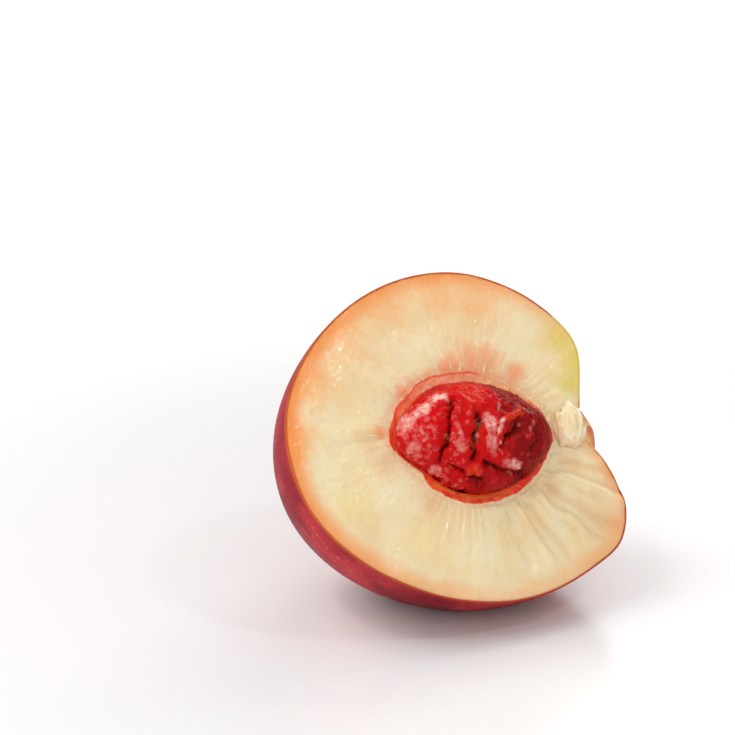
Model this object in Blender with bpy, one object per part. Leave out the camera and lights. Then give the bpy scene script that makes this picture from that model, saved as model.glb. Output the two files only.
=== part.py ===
"""Half a nectarine, cut lengthwise through its suture, with its stone in place.

The half is shaped lying on its back: X runs along the core to the stem end, Y runs across the
cut face to the suture side, and Z points straight out of the cut face. An empty then turns it to
the pose in which it leans back on a small flat spot of its cheek.
"""

import math

import bmesh
import bpy
from mathutils import Matrix, Vector, noise

MM = 0.001

# The whole fruit that the half was cut from
SUTURE_RADIUS = 33.8 * MM       # from the core to the skin, across the cut face
CHEEK_RADIUS = 38.9 * MM        # from the core to the skin, straight down into the half
CORE_REACH = 39.7 * MM          # half the length along the core, before the stem hollow
STEM_HOLLOW_DEPTH = 12.0 * MM
STEM_HOLLOW_SPREAD = 0.45       # radians of polar angle
STEM_HOLLOW_NARROWING = 0.55    # the hollow is drawn out along the suture, and narrower across it
BLOSSOM_TIP = 0.6 * MM
BLOSSOM_TIP_SPREAD = 0.30
SHOULDER_SWELL = 0.063          # the stem half is a little fatter than the blossom half
WAIST_SWELL = 0.025
SUTURE_SIDE_SWELL = 0.035
GROOVE_DEPTH = 1.8 * MM         # the suture, deepest on the shoulder
GROOVE_HALF_ANGLE = 0.30
GROOVE_POLAR = 0.75
GROOVE_POLAR_SPREAD = 0.35
BULGE_HEIGHT = 1.8 * MM         # the shoulder opposite the suture stands out a little
BULGE_HALF_ANGLE = 0.90
BULGE_POLAR = 0.76
BULGE_POLAR_SPREAD = 0.22

# The stone, and the hollow that it lies in
STONE_CENTRE = Vector((1.1, -0.1, 0.2)) * MM
STONE_HALF_SIZES = Vector((17.7, 11.5, 8.5)) * MM
STONE_TURN = math.radians(-4.0)
STONE_POINT = 0.16              # how far the two ends are drawn out
FLATTER_SHARE = 0.125           # stone and pit are both flatter below the blossom end
FLATTER_ANGLE = math.radians(-155.0)
FLATTER_SPREAD = 0.40
KEEL_HEIGHT = 0.7 * MM
KEEL_HALF_ANGLE = 0.22
PIT_CENTRE = Vector((1.1, 0.6, 0.2)) * MM
PIT_HALF_SIZES = Vector((18.6, 13.5, 9.1)) * MM
# Furrows in the stone, in millimetres and in its own frame: half width, depth and the points they pass
FURROWS = (
    (1.1, 1.7, ((-6.2, 7.6), (-8.5, 3.6), (-9.4, 1.2), (-10.2, -1.1), (-11.4, -4.6))),
    (1.2, 2.0, ((-1.5, 3.8), (-3.1, 0.3), (-4.2, -1.9), (-5.0, -4.1), (-5.1, -6.3))),
    (1.2, 1.9, ((8.0, 0.6), (5.5, -1.7), (3.1, -3.1), (1.5, -4.9))),
    (1.0, 1.5, ((12.8, 0.2), (12.3, -1.8), (11.5, -3.6), (9.8, -5.6))),
    (1.0, 1.5, ((-9.5, -6.2), (-7.4, -7.9), (-6.0, -9.0), (-2.4, -10.8))),
    (1.0, 1.7, ((-2.6, -7.4), (0.7, -8.7), (4.6, -9.7), (9.5, -9.0))),
    (1.2, 1.5, ((3.2, 3.9), (4.6, 3.6))),
)
KNOB_SCALE = 4.6 * MM
KNOB_DEPTH = 1.2 * MM
END_SMOOTHNESS = 0.8            # the relief dies away towards the two ends

# The cut face
LIP_FALL = 0.9 * MM             # the flesh rounds over where it meets the pit
LIP_WIDTH = 2.2 * MM
FACE_WAVE = 0.35 * MM
FACE_WAVE_SCALE = 11.0 * MM
FOLD_HEIGHT = 0.55 * MM         # folds pulled up between the stone and the stem hollow
FOLDS_PER_RADIAN = 2.9
FOLD_SECTOR = (math.radians(-88.0), math.radians(-8.0))
FOLD_SECTOR_FADE = math.radians(20.0)
FOLD_START = 3.0 * MM           # counted outwards from the pit's edge
FOLD_FADE = (13.0 * MM, 18.0 * MM)
FOLD_WANDER = 2.0               # radians of the wave
FOLD_WANDER_SCALE = 7.0 * MM
STEM_DIP_CENTRE = Vector((26.5, -3.0)) * MM
STEM_DIP_DEPTH = 1.6 * MM
STEM_DIP_SPREAD = 5.5 * MM
CREASE_START = -17.0 * MM       # a shallow crease from the stone towards the blossom tip
CREASE_END = -31.0 * MM
CREASE_FADE = (6.0 * MM, 3.0 * MM)
CREASE_DEPTH = 0.4 * MM
CREASE_HALF_WIDTH = 1.1 * MM
CREASE_ACROSS = 3.0 * MM
KNIFE_HALF_WIDTH = 45.0 * MM
KNIFE_CELLS = 46

# Strands of torn flesh between the stone and the stem hollow: centre, half sizes and turn
STRANDS = (
    ((22.3, -0.6, -1.3), (1.4, 4.3, 2.7), -13.0),
    ((24.1, 0.4, -1.1), (1.6, 5.5, 3.3), -16.0),
    ((25.9, -0.4, -1.5), (1.4, 4.7, 3.1), -21.0),
    ((26.9, -2.2, -2.1), (1.1, 3.2, 2.6), -27.0),
    ((24.4, -3.2, -2.0), (3.0, 2.6, 2.5), -12.0),
)

# The resting pose
FACE_TILT = math.radians(54.2)  # the cut face leans back this far from lying level
FACE_HEADING = math.radians(29.2)
CORE_ROLL = math.radians(-1.4)
FLAT_DEPTH = 1.8 * MM           # how much of the cheek the flat spot takes off
FLOOR_HALF_WIDTH = 60.0 * MM
CHEEK_STEPS = 180               # how finely the lowest point of the cheek is looked for

FRUIT_SEGMENTS, FRUIT_RINGS = 64, 42
PIT_SEGMENTS, PIT_RINGS = 60, 34
STONE_SEGMENTS, STONE_RINGS = 44, 56
STRAND_SEGMENTS, STRAND_RINGS = 12, 10


def clear_scene():
    for obj in list(bpy.data.objects):
        bpy.data.objects.remove(obj)


def bell(distance, spread):
    return math.exp(-((distance / spread) ** 2))


def smooth_step(low, high, value):
    share = min(1.0, max(0.0, (value - low) / (high - low)))
    return share * share * (3.0 - 2.0 * share)


def wrapped(angle):
    return math.atan2(math.sin(angle), math.cos(angle))


def fruit_point(polar, turn):
    """A point of the skin: polar is 0 at the stem end, turn is 0 on the suture."""
    girth = math.sin(polar) * (1.0 + SHOULDER_SWELL * math.cos(polar) - WAIST_SWELL * math.cos(2.0 * polar))
    along = CORE_REACH * math.cos(polar)
    spread = STEM_HOLLOW_SPREAD * (1.0 - STEM_HOLLOW_NARROWING * math.sin(turn) ** 2)
    along -= STEM_HOLLOW_DEPTH * bell(polar, spread)
    along += BLOSSOM_TIP * bell(math.pi - polar, BLOSSOM_TIP_SPREAD)
    side = 1.0 + SUTURE_SIDE_SWELL * math.cos(turn)
    groove = GROOVE_DEPTH * bell(wrapped(turn), GROOVE_HALF_ANGLE)
    groove *= bell(polar - GROOVE_POLAR, GROOVE_POLAR_SPREAD)
    bulge = BULGE_HEIGHT * bell(wrapped(turn - math.pi), BULGE_HALF_ANGLE)
    bulge *= bell(polar - BULGE_POLAR, BULGE_POLAR_SPREAD)
    across = (SUTURE_RADIUS * girth * side - groove + bulge) * math.cos(turn)
    return Vector((along, across, CHEEK_RADIUS * girth * math.sin(turn)))


def flatter(x, y):
    """What stone and pit shrink to across the cut face, in the direction of a point."""
    return 1.0 - FLATTER_SHARE * bell(wrapped(math.atan2(y, x) - FLATTER_ANGLE), FLATTER_SPREAD)


def almond_point(centre, half_sizes, polar, turn):
    """A point of a rounded body that is drawn out to a blunt point at both ends of the core."""
    girth = math.sin(polar) * (1.0 - STONE_POINT * math.cos(polar) ** 2)
    local = Vector(
        (
            half_sizes.x * math.cos(polar),
            half_sizes.y * girth * math.cos(turn),
            half_sizes.z * girth * math.sin(turn),
        )
    )
    local.xy *= flatter(local.x, local.y)
    return centre + Matrix.Rotation(STONE_TURN, 3, "Z") @ local


def path_distance(x, y, path):
    """How far a point is from a line of straight stretches."""
    nearest = math.inf
    for start, end in zip(path, path[1:]):
        step_x, step_y = end[0] - start[0], end[1] - start[1]
        share = ((x - start[0]) * step_x + (y - start[1]) * step_y) / (step_x**2 + step_y**2)
        share = min(1.0, max(0.0, share))
        nearest = min(nearest, math.hypot(x - start[0] - share * step_x, y - start[1] - share * step_y))
    return nearest


def furrow_depth(local):
    """How deep the furrows are at a point of the stone."""
    depths = [
        most * MM * bell(path_distance(local.x / MM, local.y / MM, path), half_width)
        for half_width, most, path in FURROWS
    ]
    return math.hypot(*depths)


def stone_point(polar, turn):
    """The almond, with a keel along its suture edge, furrows across it and knobs between them."""
    smooth = almond_point(STONE_CENTRE, STONE_HALF_SIZES, polar, turn)
    local = smooth - STONE_CENTRE
    inward = -local.normalized()
    fade = math.sin(polar) ** END_SMOOTHNESS
    furrow = furrow_depth(Matrix.Rotation(-STONE_TURN, 3, "Z") @ local)
    knob = KNOB_DEPTH * (0.5 - 0.5 * noise.noise(local / KNOB_SCALE))
    keel = KEEL_HEIGHT * bell(wrapped(turn), KEEL_HALF_ANGLE)
    return smooth + inward * fade * (furrow + knob - keel)


def pit_point(polar, turn):
    return almond_point(PIT_CENTRE, PIT_HALF_SIZES, polar, turn)


def pit_reach(x, y):
    """1 on the pit's edge, more outside it."""
    local = Matrix.Rotation(-STONE_TURN, 2) @ Vector((x - PIT_CENTRE.x, y - PIT_CENTRE.y))
    return math.hypot(local.x / PIT_HALF_SIZES.x, local.y / PIT_HALF_SIZES.y) / flatter(local.x, local.y)


def fold_height(x, y, from_pit):
    """Folds that fan out from the pit, in one sector of the cut face."""
    angle = math.atan2(y - PIT_CENTRE.y, x - PIT_CENTRE.x)
    start, end = FOLD_SECTOR
    sector = smooth_step(start, start + FOLD_SECTOR_FADE, angle)
    sector *= smooth_step(end, end - FOLD_SECTOR_FADE, angle)
    reach = smooth_step(0.0, FOLD_START, from_pit) * (1.0 - smooth_step(*FOLD_FADE, from_pit))
    wander = FOLD_WANDER * noise.noise(Vector((x, y, 0.0)) / FOLD_WANDER_SCALE)
    return FOLD_HEIGHT * math.sin(angle * math.tau * FOLDS_PER_RADIAN + wander) * sector * reach


def face_height(x, y):
    """The cut face's own low relief, above or below the plane through the core."""
    from_pit = max(0.0, pit_reach(x, y) - 1.0) * PIT_HALF_SIZES.y
    height = -LIP_FALL * math.exp(-from_pit / LIP_WIDTH)
    height += FACE_WAVE * noise.noise(Vector((x, y, 0.0)) / FACE_WAVE_SCALE)
    height += fold_height(x, y, from_pit)
    stem_distance = (Vector((x, y)) - STEM_DIP_CENTRE).length
    height -= STEM_DIP_DEPTH * bell(stem_distance, STEM_DIP_SPREAD)
    outer_fade, inner_fade = CREASE_FADE
    window = smooth_step(CREASE_END, CREASE_END + outer_fade, x)
    window *= smooth_step(CREASE_START + inner_fade, CREASE_START, x)
    height -= CREASE_DEPTH * bell(y - CREASE_ACROSS, CREASE_HALF_WIDTH) * window
    return height


def link(obj, collection, parent=None):
    collection.objects.link(obj)
    obj.parent = parent
    return obj


def shaped_ball(name, segments, rings, point_at, half_step=False):
    """A UV sphere whose points are moved to point_at(polar, turn). Its poles lie on the core."""
    shape = bmesh.new()
    bmesh.ops.create_uvsphere(shape, u_segments=segments, v_segments=rings, radius=1.0)
    shift = math.pi / segments if half_step else 0.0
    for vertex in shape.verts:
        polar = math.acos(max(-1.0, min(1.0, vertex.co.z)))
        turn = math.atan2(vertex.co.y, vertex.co.x) + shift
        vertex.co = point_at(polar, turn)
    if shape.calc_volume(signed=True) < 0.0:
        bmesh.ops.reverse_faces(shape, faces=shape.faces)
    mesh = bpy.data.meshes.new(name)
    shape.to_mesh(mesh)
    shape.free()
    return bpy.data.objects.new(name, mesh)


def knife_block():
    """Everything above the cut face: a grid with the face's relief, drawn up into a block."""
    shape = bmesh.new()
    bmesh.ops.create_grid(shape, x_segments=KNIFE_CELLS, y_segments=KNIFE_CELLS, size=KNIFE_HALF_WIDTH)
    for vertex in shape.verts:
        vertex.co.z = face_height(vertex.co.x, vertex.co.y)
    drawn = bmesh.ops.extrude_face_region(shape, geom=shape.faces[:], use_keep_orig=True)
    for vertex in drawn["geom"]:
        if isinstance(vertex, bmesh.types.BMVert):
            vertex.co.z = KNIFE_HALF_WIDTH
    bmesh.ops.recalc_face_normals(shape, faces=shape.faces)
    mesh = bpy.data.meshes.new("knife")
    shape.to_mesh(mesh)
    shape.free()
    return bpy.data.objects.new("knife", mesh)


def floor_block():
    bpy.ops.mesh.primitive_cube_add(size=2.0 * FLOOR_HALF_WIDTH, location=(0.0, 0.0, -FLOOR_HALF_WIDTH))
    block = bpy.context.object
    block.name = "floor_cut"
    for collection in list(block.users_collection):
        collection.objects.unlink(block)
    return block


def strand_lobe(number, centre, half_sizes, turn_deg):
    """One lobe of torn flesh: a ball stretched across the core and turned on the cut face."""
    turned = Matrix.Rotation(math.radians(turn_deg), 3, "Z")

    def point_at(polar, turn):
        local = Vector((half_sizes[0] * math.sin(polar) * math.cos(turn),
                        half_sizes[1] * math.cos(polar),
                        half_sizes[2] * math.sin(polar) * math.sin(turn)))
        return (Vector(centre) + turned @ local) * MM

    return shaped_ball(f"strand_{number}", STRAND_SEGMENTS, STRAND_RINGS, point_at)


def principled(name, colour, roughness):
    material = bpy.data.materials.new(name)
    material.use_nodes = True
    shader = material.node_tree.nodes["Principled BSDF"]
    shader.inputs["Base Color"].default_value = (*colour, 1.0)
    shader.inputs["Roughness"].default_value = roughness
    shader.inputs["Metallic"].default_value = 0.0
    return material


def add_boolean(obj, name, operation, other):
    modifier = obj.modifiers.new(name, "BOOLEAN")
    modifier.operation = operation
    modifier.solver = "EXACT"
    if isinstance(other, bpy.types.Collection):
        modifier.operand_type = "COLLECTION"
        modifier.collection = other
    else:
        modifier.object = other


def hide_cutter(obj):
    obj.hide_render = True
    obj.display_type = "WIRE"


def resting_pose():
    """The turn from lying on its back to leaning, and the lift that leaves the flat spot at Z = 0."""
    turned = (
        Matrix.Rotation(FACE_HEADING, 4, "Z")
        @ Matrix.Rotation(FACE_TILT, 4, "X")
        @ Matrix.Rotation(CORE_ROLL, 4, "Z")
    )
    cheek = [
        turned @ fruit_point(math.pi * i / CHEEK_STEPS, math.pi * (1.0 + j / CHEEK_STEPS))
        for i in range(1, CHEEK_STEPS)
        for j in range(CHEEK_STEPS + 1)
    ]
    lowest = min(cheek, key=lambda point: point.z)
    move = Vector((-lowest.x, -lowest.y, -FLAT_DEPTH - lowest.z))
    return Matrix.Translation(move) @ turned


def build():
    clear_scene()
    root = bpy.context.scene.collection
    parts = bpy.data.collections.new("half_nectarine")
    cutters = bpy.data.collections.new("cutters")
    lobes = bpy.data.collections.new("torn_strands")
    for collection in (parts, cutters, lobes):
        root.children.link(collection)

    pose = bpy.data.objects.new("resting_pose", None)
    link(pose, parts)
    pose.matrix_world = resting_pose()

    knife = link(knife_block(), cutters, pose)
    pit = link(shaped_ball("pit", PIT_SEGMENTS, PIT_RINGS, pit_point, True), cutters, pose)
    floor = link(floor_block(), cutters)
    for number, (centre, half_sizes, turn_deg) in enumerate(STRANDS, 1):
        hide_cutter(link(strand_lobe(number, centre, half_sizes, turn_deg), lobes, pose))
    for cutter in (knife, pit, floor):
        hide_cutter(cutter)

    fruit = link(shaped_ball("flesh_and_skin", FRUIT_SEGMENTS, FRUIT_RINGS, fruit_point, True), parts, pose)
    fruit.data.materials.append(principled("nectarine_flesh", (0.86, 0.66, 0.38), 0.35))
    add_boolean(fruit, "cut_in_half", "DIFFERENCE", knife)
    add_boolean(fruit, "stone_hollow", "DIFFERENCE", pit)
    add_boolean(fruit, "torn_strands", "UNION", lobes)
    add_boolean(fruit, "flat_spot", "DIFFERENCE", floor)

    stone = link(shaped_ball("stone", STONE_SEGMENTS, STONE_RINGS, stone_point), parts, pose)
    stone.data.materials.append(principled("nectarine_stone", (0.32, 0.05, 0.03), 0.45))
    for obj in (fruit, stone):
        obj.data.shade_smooth()
        obj.data.set_sharp_from_angle(angle=math.radians(40.0))


build()
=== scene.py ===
"""Looks of half a nectarine with its stone: skin, flesh, stone, torn strands, fibres and juice.

Shapes are worked out with the half lying on its back: X runs along the core to the stem end, Y runs
across the cut face to the suture, and Z points out of the cut face. One fixed pose then stands it
on its flat spot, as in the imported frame.
"""
import math

import bmesh
import bpy
import numpy as np
from bpy.props import FloatProperty, FloatVectorProperty, IntProperty, PointerProperty
from mathutils import Matrix, Vector, noise


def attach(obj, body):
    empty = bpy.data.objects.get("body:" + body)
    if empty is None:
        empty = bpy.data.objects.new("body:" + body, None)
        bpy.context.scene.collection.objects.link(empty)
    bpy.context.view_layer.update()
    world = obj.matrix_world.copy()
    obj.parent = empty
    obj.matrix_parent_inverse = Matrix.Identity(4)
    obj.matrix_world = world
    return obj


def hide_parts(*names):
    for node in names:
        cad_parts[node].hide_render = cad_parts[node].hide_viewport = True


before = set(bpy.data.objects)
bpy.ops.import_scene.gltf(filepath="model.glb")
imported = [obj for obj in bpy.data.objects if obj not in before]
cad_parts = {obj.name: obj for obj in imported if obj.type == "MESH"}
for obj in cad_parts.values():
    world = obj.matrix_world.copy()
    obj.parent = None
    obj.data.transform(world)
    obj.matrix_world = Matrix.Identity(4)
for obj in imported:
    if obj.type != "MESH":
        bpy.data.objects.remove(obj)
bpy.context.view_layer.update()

bl_info = {
    "name": "Half nectarine",
    "version": (1, 0, 0),
    "blender": (4, 5, 0),
    "location": "View3D > Sidebar > Nectarine",
    "description": "Makes the skin, flesh, stone and juice of a cut nectarine on its packed frame",
    "category": "Object",
}

MM = 0.001
BODY = "root"

# The whole fruit that the half was cut from, as in the part's source
SUTURE_RADIUS = 33.8 * MM
CHEEK_RADIUS = 38.9 * MM
CORE_REACH = 39.7 * MM
STEM_HOLLOW_DEPTH = 12.0 * MM
STEM_HOLLOW_SPREAD = 0.45
STEM_HOLLOW_NARROWING = 0.55
BLOSSOM_TIP = 0.6 * MM
BLOSSOM_TIP_SPREAD = 0.30
SHOULDER_SWELL = 0.063
WAIST_SWELL = 0.025
SUTURE_SIDE_SWELL = 0.035
GROOVE_DEPTH = 1.8 * MM
GROOVE_HALF_ANGLE = 0.30
GROOVE_POLAR = 0.75
GROOVE_POLAR_SPREAD = 0.35
BULGE_HEIGHT = 1.8 * MM
BULGE_HALF_ANGLE = 0.90
BULGE_POLAR = 0.76
BULGE_POLAR_SPREAD = 0.22

# The stone and the pit
STONE_CENTRE = np.array((1.1, -0.1, 0.2)) * MM
STONE_HALF_SIZES = np.array((17.7, 11.5, 8.5)) * MM
STONE_TURN = math.radians(-4.0)
STONE_POINT = 0.16
FLATTER_SHARE = 0.125
FLATTER_ANGLE = math.radians(-155.0)
FLATTER_SPREAD = 0.40
KEEL_HEIGHT = 0.7 * MM
KEEL_HALF_ANGLE = 0.22
CLING = -0.40 * MM
CLING_TOP = 1.1 * MM
PIT_CENTRE = np.array((1.1, 0.6, 0.2)) * MM
PIT_HALF_SIZES = np.array((18.6, 13.5, 9.1)) * MM
# Furrows of the stone: half width, depth and the points they pass, in millimetres
FURROWS = (
    (1.1, 1.7, ((-6.2, 7.6), (-8.5, 3.6), (-9.4, 1.2), (-10.2, -1.1), (-11.4, -4.6))),
    (1.2, 2.0, ((-1.5, 3.8), (-3.1, 0.3), (-4.2, -1.9), (-5.0, -4.1), (-5.1, -6.3))),
    (1.2, 1.9, ((8.0, 0.6), (5.5, -1.7), (3.1, -3.1), (1.5, -4.9))),
    (1.0, 1.5, ((12.8, 0.2), (12.3, -1.8), (11.5, -3.6), (9.8, -5.6))),
    (1.0, 1.5, ((-9.5, -6.2), (-7.4, -7.9), (-6.0, -9.0), (-2.4, -10.8))),
    (1.0, 1.7, ((-2.6, -7.4), (0.7, -8.7), (4.6, -9.7), (9.5, -9.0))),
    (1.2, 1.5, ((3.2, 3.9), (4.6, 3.6))),
)
# Low ridges on the stone: half width, height and the points they pass.
# The first WARM_RIDGES of them are warmer than the rest.
WARM_RIDGES = 2
RIDGES = (
    (0.9, 0.8, ((3.6, 1.2), (5.5, 2.1), (8.2, 2.8))),
    (1.1, 0.7, ((-4.9, -8.1), (-4.4, -8.3))),
    (0.6, 0.5, ((0.5, 2.8), (1.4, 0.4), (2.9, -1.2), (1.4, -3.4), (1.2, -5.4))),
    (0.6, 0.4, ((6.3, 5.6), (9.4, 4.0), (12.4, 1.4))),
    (0.6, 0.4, ((8.2, -3.4), (10.3, -1.0), (11.4, 0.9))),
)
# Profile of a furrow: share of the depth and spread, in half widths
FURROW_PROFILE = ((0.80, 0.55), (0.30, 1.0))
KNOB_SCALE = 4.6 * MM
KNOB_DEPTH = 1.2 * MM
END_SMOOTHNESS = 0.8

# Finer forms of the stone
LOBE_HEIGHT = 0.45 * MM
LOBE_SIZE = 1.25 * MM
LOBE_ROUNDNESS = 0.62
GRAIN_HEIGHT = 0.13 * MM
GRAIN_SIZE = 0.70 * MM
GRAIN_ROUNDNESS = 0.65
SWELL_HEIGHT = 0.30 * MM
SWELL_SIZE = 2.4 * MM
CRACK_DEPTH = 0.40 * MM
CRACK_HALF_WIDTH = 0.10
ROUGH_HEIGHT = 0.10 * MM
ROUGH_SIZE = 0.9 * MM
SWAY = 0.35 * MM
SWAY_SIZE = 1.5 * MM

# Layers of noise: height, size and shift of each
STONE_TEARS = ((0.75 * MM, 2.2 * MM, 3.0), (0.38 * MM, 0.8 * MM, 8.0))
FILM_TEARS = ((0.30, 1.3 * MM, 5.0), (0.20, 0.5 * MM, 0.0))
LIP_TEARS = ((0.55 * MM, 0.30, 0.0), (0.22 * MM, 0.11, 7.0))
FACE_GRAIN = ((0.09 * MM, 3.1 * MM, 0.0), (0.05 * MM, 1.2 * MM, 4.0), (0.05 * MM, 0.7 * MM, 9.0))

# The cut face
LIP_FALL = 0.9 * MM
LIP_WIDTH = 2.2 * MM
FACE_WAVE = 0.35 * MM
FACE_WAVE_SCALE = 11.0 * MM
FOLD_HEIGHT = 0.55 * MM
FOLDS_PER_RADIAN = 2.9
FOLD_SECTOR = (math.radians(-88.0), math.radians(-8.0))
FOLD_SECTOR_FADE = math.radians(20.0)
FOLD_START = 3.0 * MM
FOLD_FADE = (13.0 * MM, 18.0 * MM)
FOLD_WANDER = 2.0
FOLD_WANDER_SCALE = 7.0 * MM
STEM_DIP_CENTRE = np.array((26.5, -3.0)) * MM
STEM_DIP_DEPTH = 1.6 * MM
STEM_DIP_SPREAD = 5.5 * MM
CREASE_START = -17.0 * MM
CREASE_END = -31.0 * MM
CREASE_FADE = (6.0 * MM, 3.0 * MM)
CREASE_DEPTH = 0.4 * MM
CREASE_HALF_WIDTH = 1.1 * MM
CREASE_ACROSS = 3.0 * MM

# Fine relief of the cut face
FINE_FOLD_HEIGHT = 0.16 * MM
FINE_FOLDS_PER_RADIAN = 8.5
FINE_FOLD_WANDER = 4.0
THREADS_ROUND = 17.0
THREAD_SHARPNESS = 3.2
THREAD_HEIGHT = 0.02 * MM
THREAD_NEAR_PIT = (0.10 * MM, 7.0 * MM)
THREAD_BELOW_PIT = (0.14 * MM, 8.0 * MM)
RIM_DIP = 0.04 * MM
RIM_DIP_WIDTH = 0.35 * MM

# The soft lip of the pit
LIP_REACH = 1.1 * MM
LIP_NARROWING = 0.6 * MM
LIP_NARROW_ANGLE = math.radians(-42.0)
LIP_NARROW_SPREAD = 0.55
LIP_CORNER = 0.985
LIP_CORNER_DEPTH = 0.95 * MM
LIP_SHREDS = 0.26 * MM
LIP_BAND = 1.1

# The skin's cut edge, and how rings crowd towards it
SKIN_RING_SPACING = 1.15
SIDE_RING_SPACING = 1.6
PIT_RING_SPACING = 0.85
INNER_SKIN_RINGS = 24
SKIN_EDGE_ROUNDING = 0.22
CUT_BLEND = 1.5 * MM
CUT_EDGE_WIDTH = 0.35 * MM
GREEN_SKIN_WIDTH = 6.0 * MM

# Yellow ground colour of the skin: direction, share and spread of each spot, and the ring at the stem
GROUND_SPOTS = (((0.72, 0.62, -0.31), 0.75, 0.42), ((-0.10, 0.30, -0.95), 0.50, 0.50))
STEM_GROUND = 0.62
STEM_GROUND_SPREAD = 0.62

# Dry scar and dark point: polar angles where they start to fade and are gone
STEM_SCAR = (0.055, 0.085)
BLOSSOM_POINT = (0.010, 0.035)
BLOSSOM_DARKNESS = 0.8

# Warmth of the flesh at the skin, partly its own orange and partly painted glow of light shining through the
# rim: angle round the cut face in degrees, share and spread
RIM_GLOW = 0.34
RIM_GLOWS = ((165.0, 0.62, 1.1), (80.0, 0.35, 0.6), (-35.0, 0.20, 0.5), (25.0, -0.28, 0.35))

# The resting pose
FACE_TILT = math.radians(54.2)
FACE_HEADING = math.radians(29.2)
CORE_ROLL = math.radians(-1.4)
FLAT_DEPTH = 1.8 * MM
CHEEK_STEPS = 180

# Tinted areas of the cut face: centre along, centre across and radius, in millimetres
PATCHES = {
    "peach_patch": (
        (10.8, 28.3, 7.0), (3.0, 32.0, 7.5), (-10.0, 31.0, 7.0), (-22.0, 26.0, 8.5),
        (-31.0, 17.5, 7.5), (-36.9, 6.0, 5.5),
    ),
    "green_patch": ((30.5, 12.5, 5.5), (29.0, 18.5, 5.0), (27.0, 8.5, 3.5)),
    "yellow_patch": ((-29.5, -9.0, 6.0), (-16.0, -19.0, 5.0), (-22.0, 6.0, 5.0)),
    "tan_patch": (
        (31.0, -14.0, 4.0), (25.4, -21.5, 4.5), (-12.0, -11.5, 3.0), (15.0, -12.6, 3.0),
        (22.0, -7.5, 3.0), (-21.5, 2.2, 3.2), (-19.0, -2.0, 2.6),
    ),
    "blush_patch": (
        (9.8, 16.0, 3.8), (6.0, 16.8, 3.6), (15.4, 12.6, 2.6), (-10.5, 11.5, 2.8),
        (-18.6, 4.4, 1.7), (1.0, 15.8, 3.2),
    ),
}

# Films of pulp that cling to the stone, some of them painted highlight or sheen, in its own frame: along,
# across, half sizes, turn and thickness
FILMS = (
    (-8.2, 8.2, 2.6, 1.3, 28.0, 1.0),
    (-12.0, 6.0, 3.2, 1.5, 38.0, 0.95),
    (-15.2, 3.8, 1.7, 3.0, -20.0, 0.8),
    (-12.8, 0.8, 2.3, 2.4, 0.0, 0.5),
    (-15.0, -1.4, 1.6, 1.8, 0.0, 0.5),
    (-12.4, -2.8, 1.4, 1.7, 0.0, 0.45),
    (-7.2, 0.8, 0.9, 2.4, 10.0, 0.45),
    (-7.3, -3.4, 1.2, 2.0, 15.0, 0.55),
    # These four films on the lobe between the second and third furrows are partly pulp and partly painted
    # highlight.
    (-0.2, 0.8, 1.6, 3.4, 8.0, 0.9),
    (-0.6, -3.6, 1.7, 3.0, 8.0, 0.85),
    (1.9, -0.3, 0.6, 2.8, -30.0, 1.0),
    (1.5, -4.2, 0.5, 1.7, 10.0, 0.95),
    (-3.8, -1.4, 0.7, 1.3, 20.0, 0.8),
    (3.5, 4.6, 0.6, 0.9, 0.0, 0.8),
    (4.4, -7.7, 3.0, 1.2, -8.0, 0.85),
    (-11.3, -6.4, 0.8, 1.6, 50.0, 0.8),
    # The last two are painted sheen, a pale reflection on the dark end of the stone.
    (9.2, 4.1, 3.0, 0.8, -35.0, 0.5),
    (10.6, 0.2, 0.6, 2.2, -35.0, 0.45),
)

# Torn strands by the stem hollow, in millimetres and degrees: centre, half sizes and turn
STRANDS = (
    ((22.3, -0.6, -1.3), (1.4, 4.3, 2.7), -13.0),
    ((24.1, 0.4, -1.1), (1.6, 5.5, 3.3), -16.0),
    ((25.9, -0.4, -1.5), (1.4, 4.7, 3.1), -21.0),
    ((26.9, -2.2, -2.1), (1.1, 3.2, 2.6), -27.0),
    ((24.4, -3.2, -2.0), (3.0, 2.6, 2.5), -12.0),
)

# Small shreds between the stone and the strands, laid out the same way
SHREDS = (
    ((20.4, 2.6, -1.3), (0.7, 2.6, 0.9), -28.0),
    ((20.9, -0.4, -1.4), (0.6, 2.3, 0.9), -8.0),
    ((19.6, 4.6, -1.2), (0.6, 1.7, 0.8), -42.0),
    ((21.2, -3.2, -1.5), (0.6, 1.8, 0.8), 12.0),
)
# The first LONG_STRANDS of the strands are drawn fuller than the rest. Lengths are in millimetres.
LONG_STRANDS = 3
STRAND_LONG_BODY = (0.95, 0.92, 0.95)
STRAND_SHORT_BODY = (0.75, 0.75, 0.80)
STRAND_GRID = 0.15
STRAND_SOFTENING = 8
STRAND_RIDGES = 0.22
STRAND_KNOTS = 0.12

# Fibres and drops keep this far from the skin, and fibres lie this deep in the cut face
FIBRE_MARGIN = 1.5 * MM
FIBRE_SINK = 0.03 * MM

# Fibres and drops in millimetres: where they start from the lip, how long they are, and the drops' size.
# A girth of 1 is a tenth of the length at the root.
RED_FIBRE_INWARD = (0.2, 1.1)
RED_FIBRE_LENGTH = (0.8, 1.7)
RED_FIBRE_GIRTH = (1.2, 2.6)
PALE_FIBRE_START = 0.4
PALE_FIBRE_SCATTER = 4.6
PALE_FIBRE_LENGTH = (1.0, 3.0)
PALE_FIBRE_SIDEWAYS = 0.3
PALE_FIBRE_GIRTH = (0.6, 1.3)
DROP_START = 0.4
DROP_SCATTER = 16.0
DROP_SIZE = 0.15
DROP_SIZE_SPREAD = 0.40
DROP_SIZE_LIMITS = (0.07, 0.36)

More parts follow.
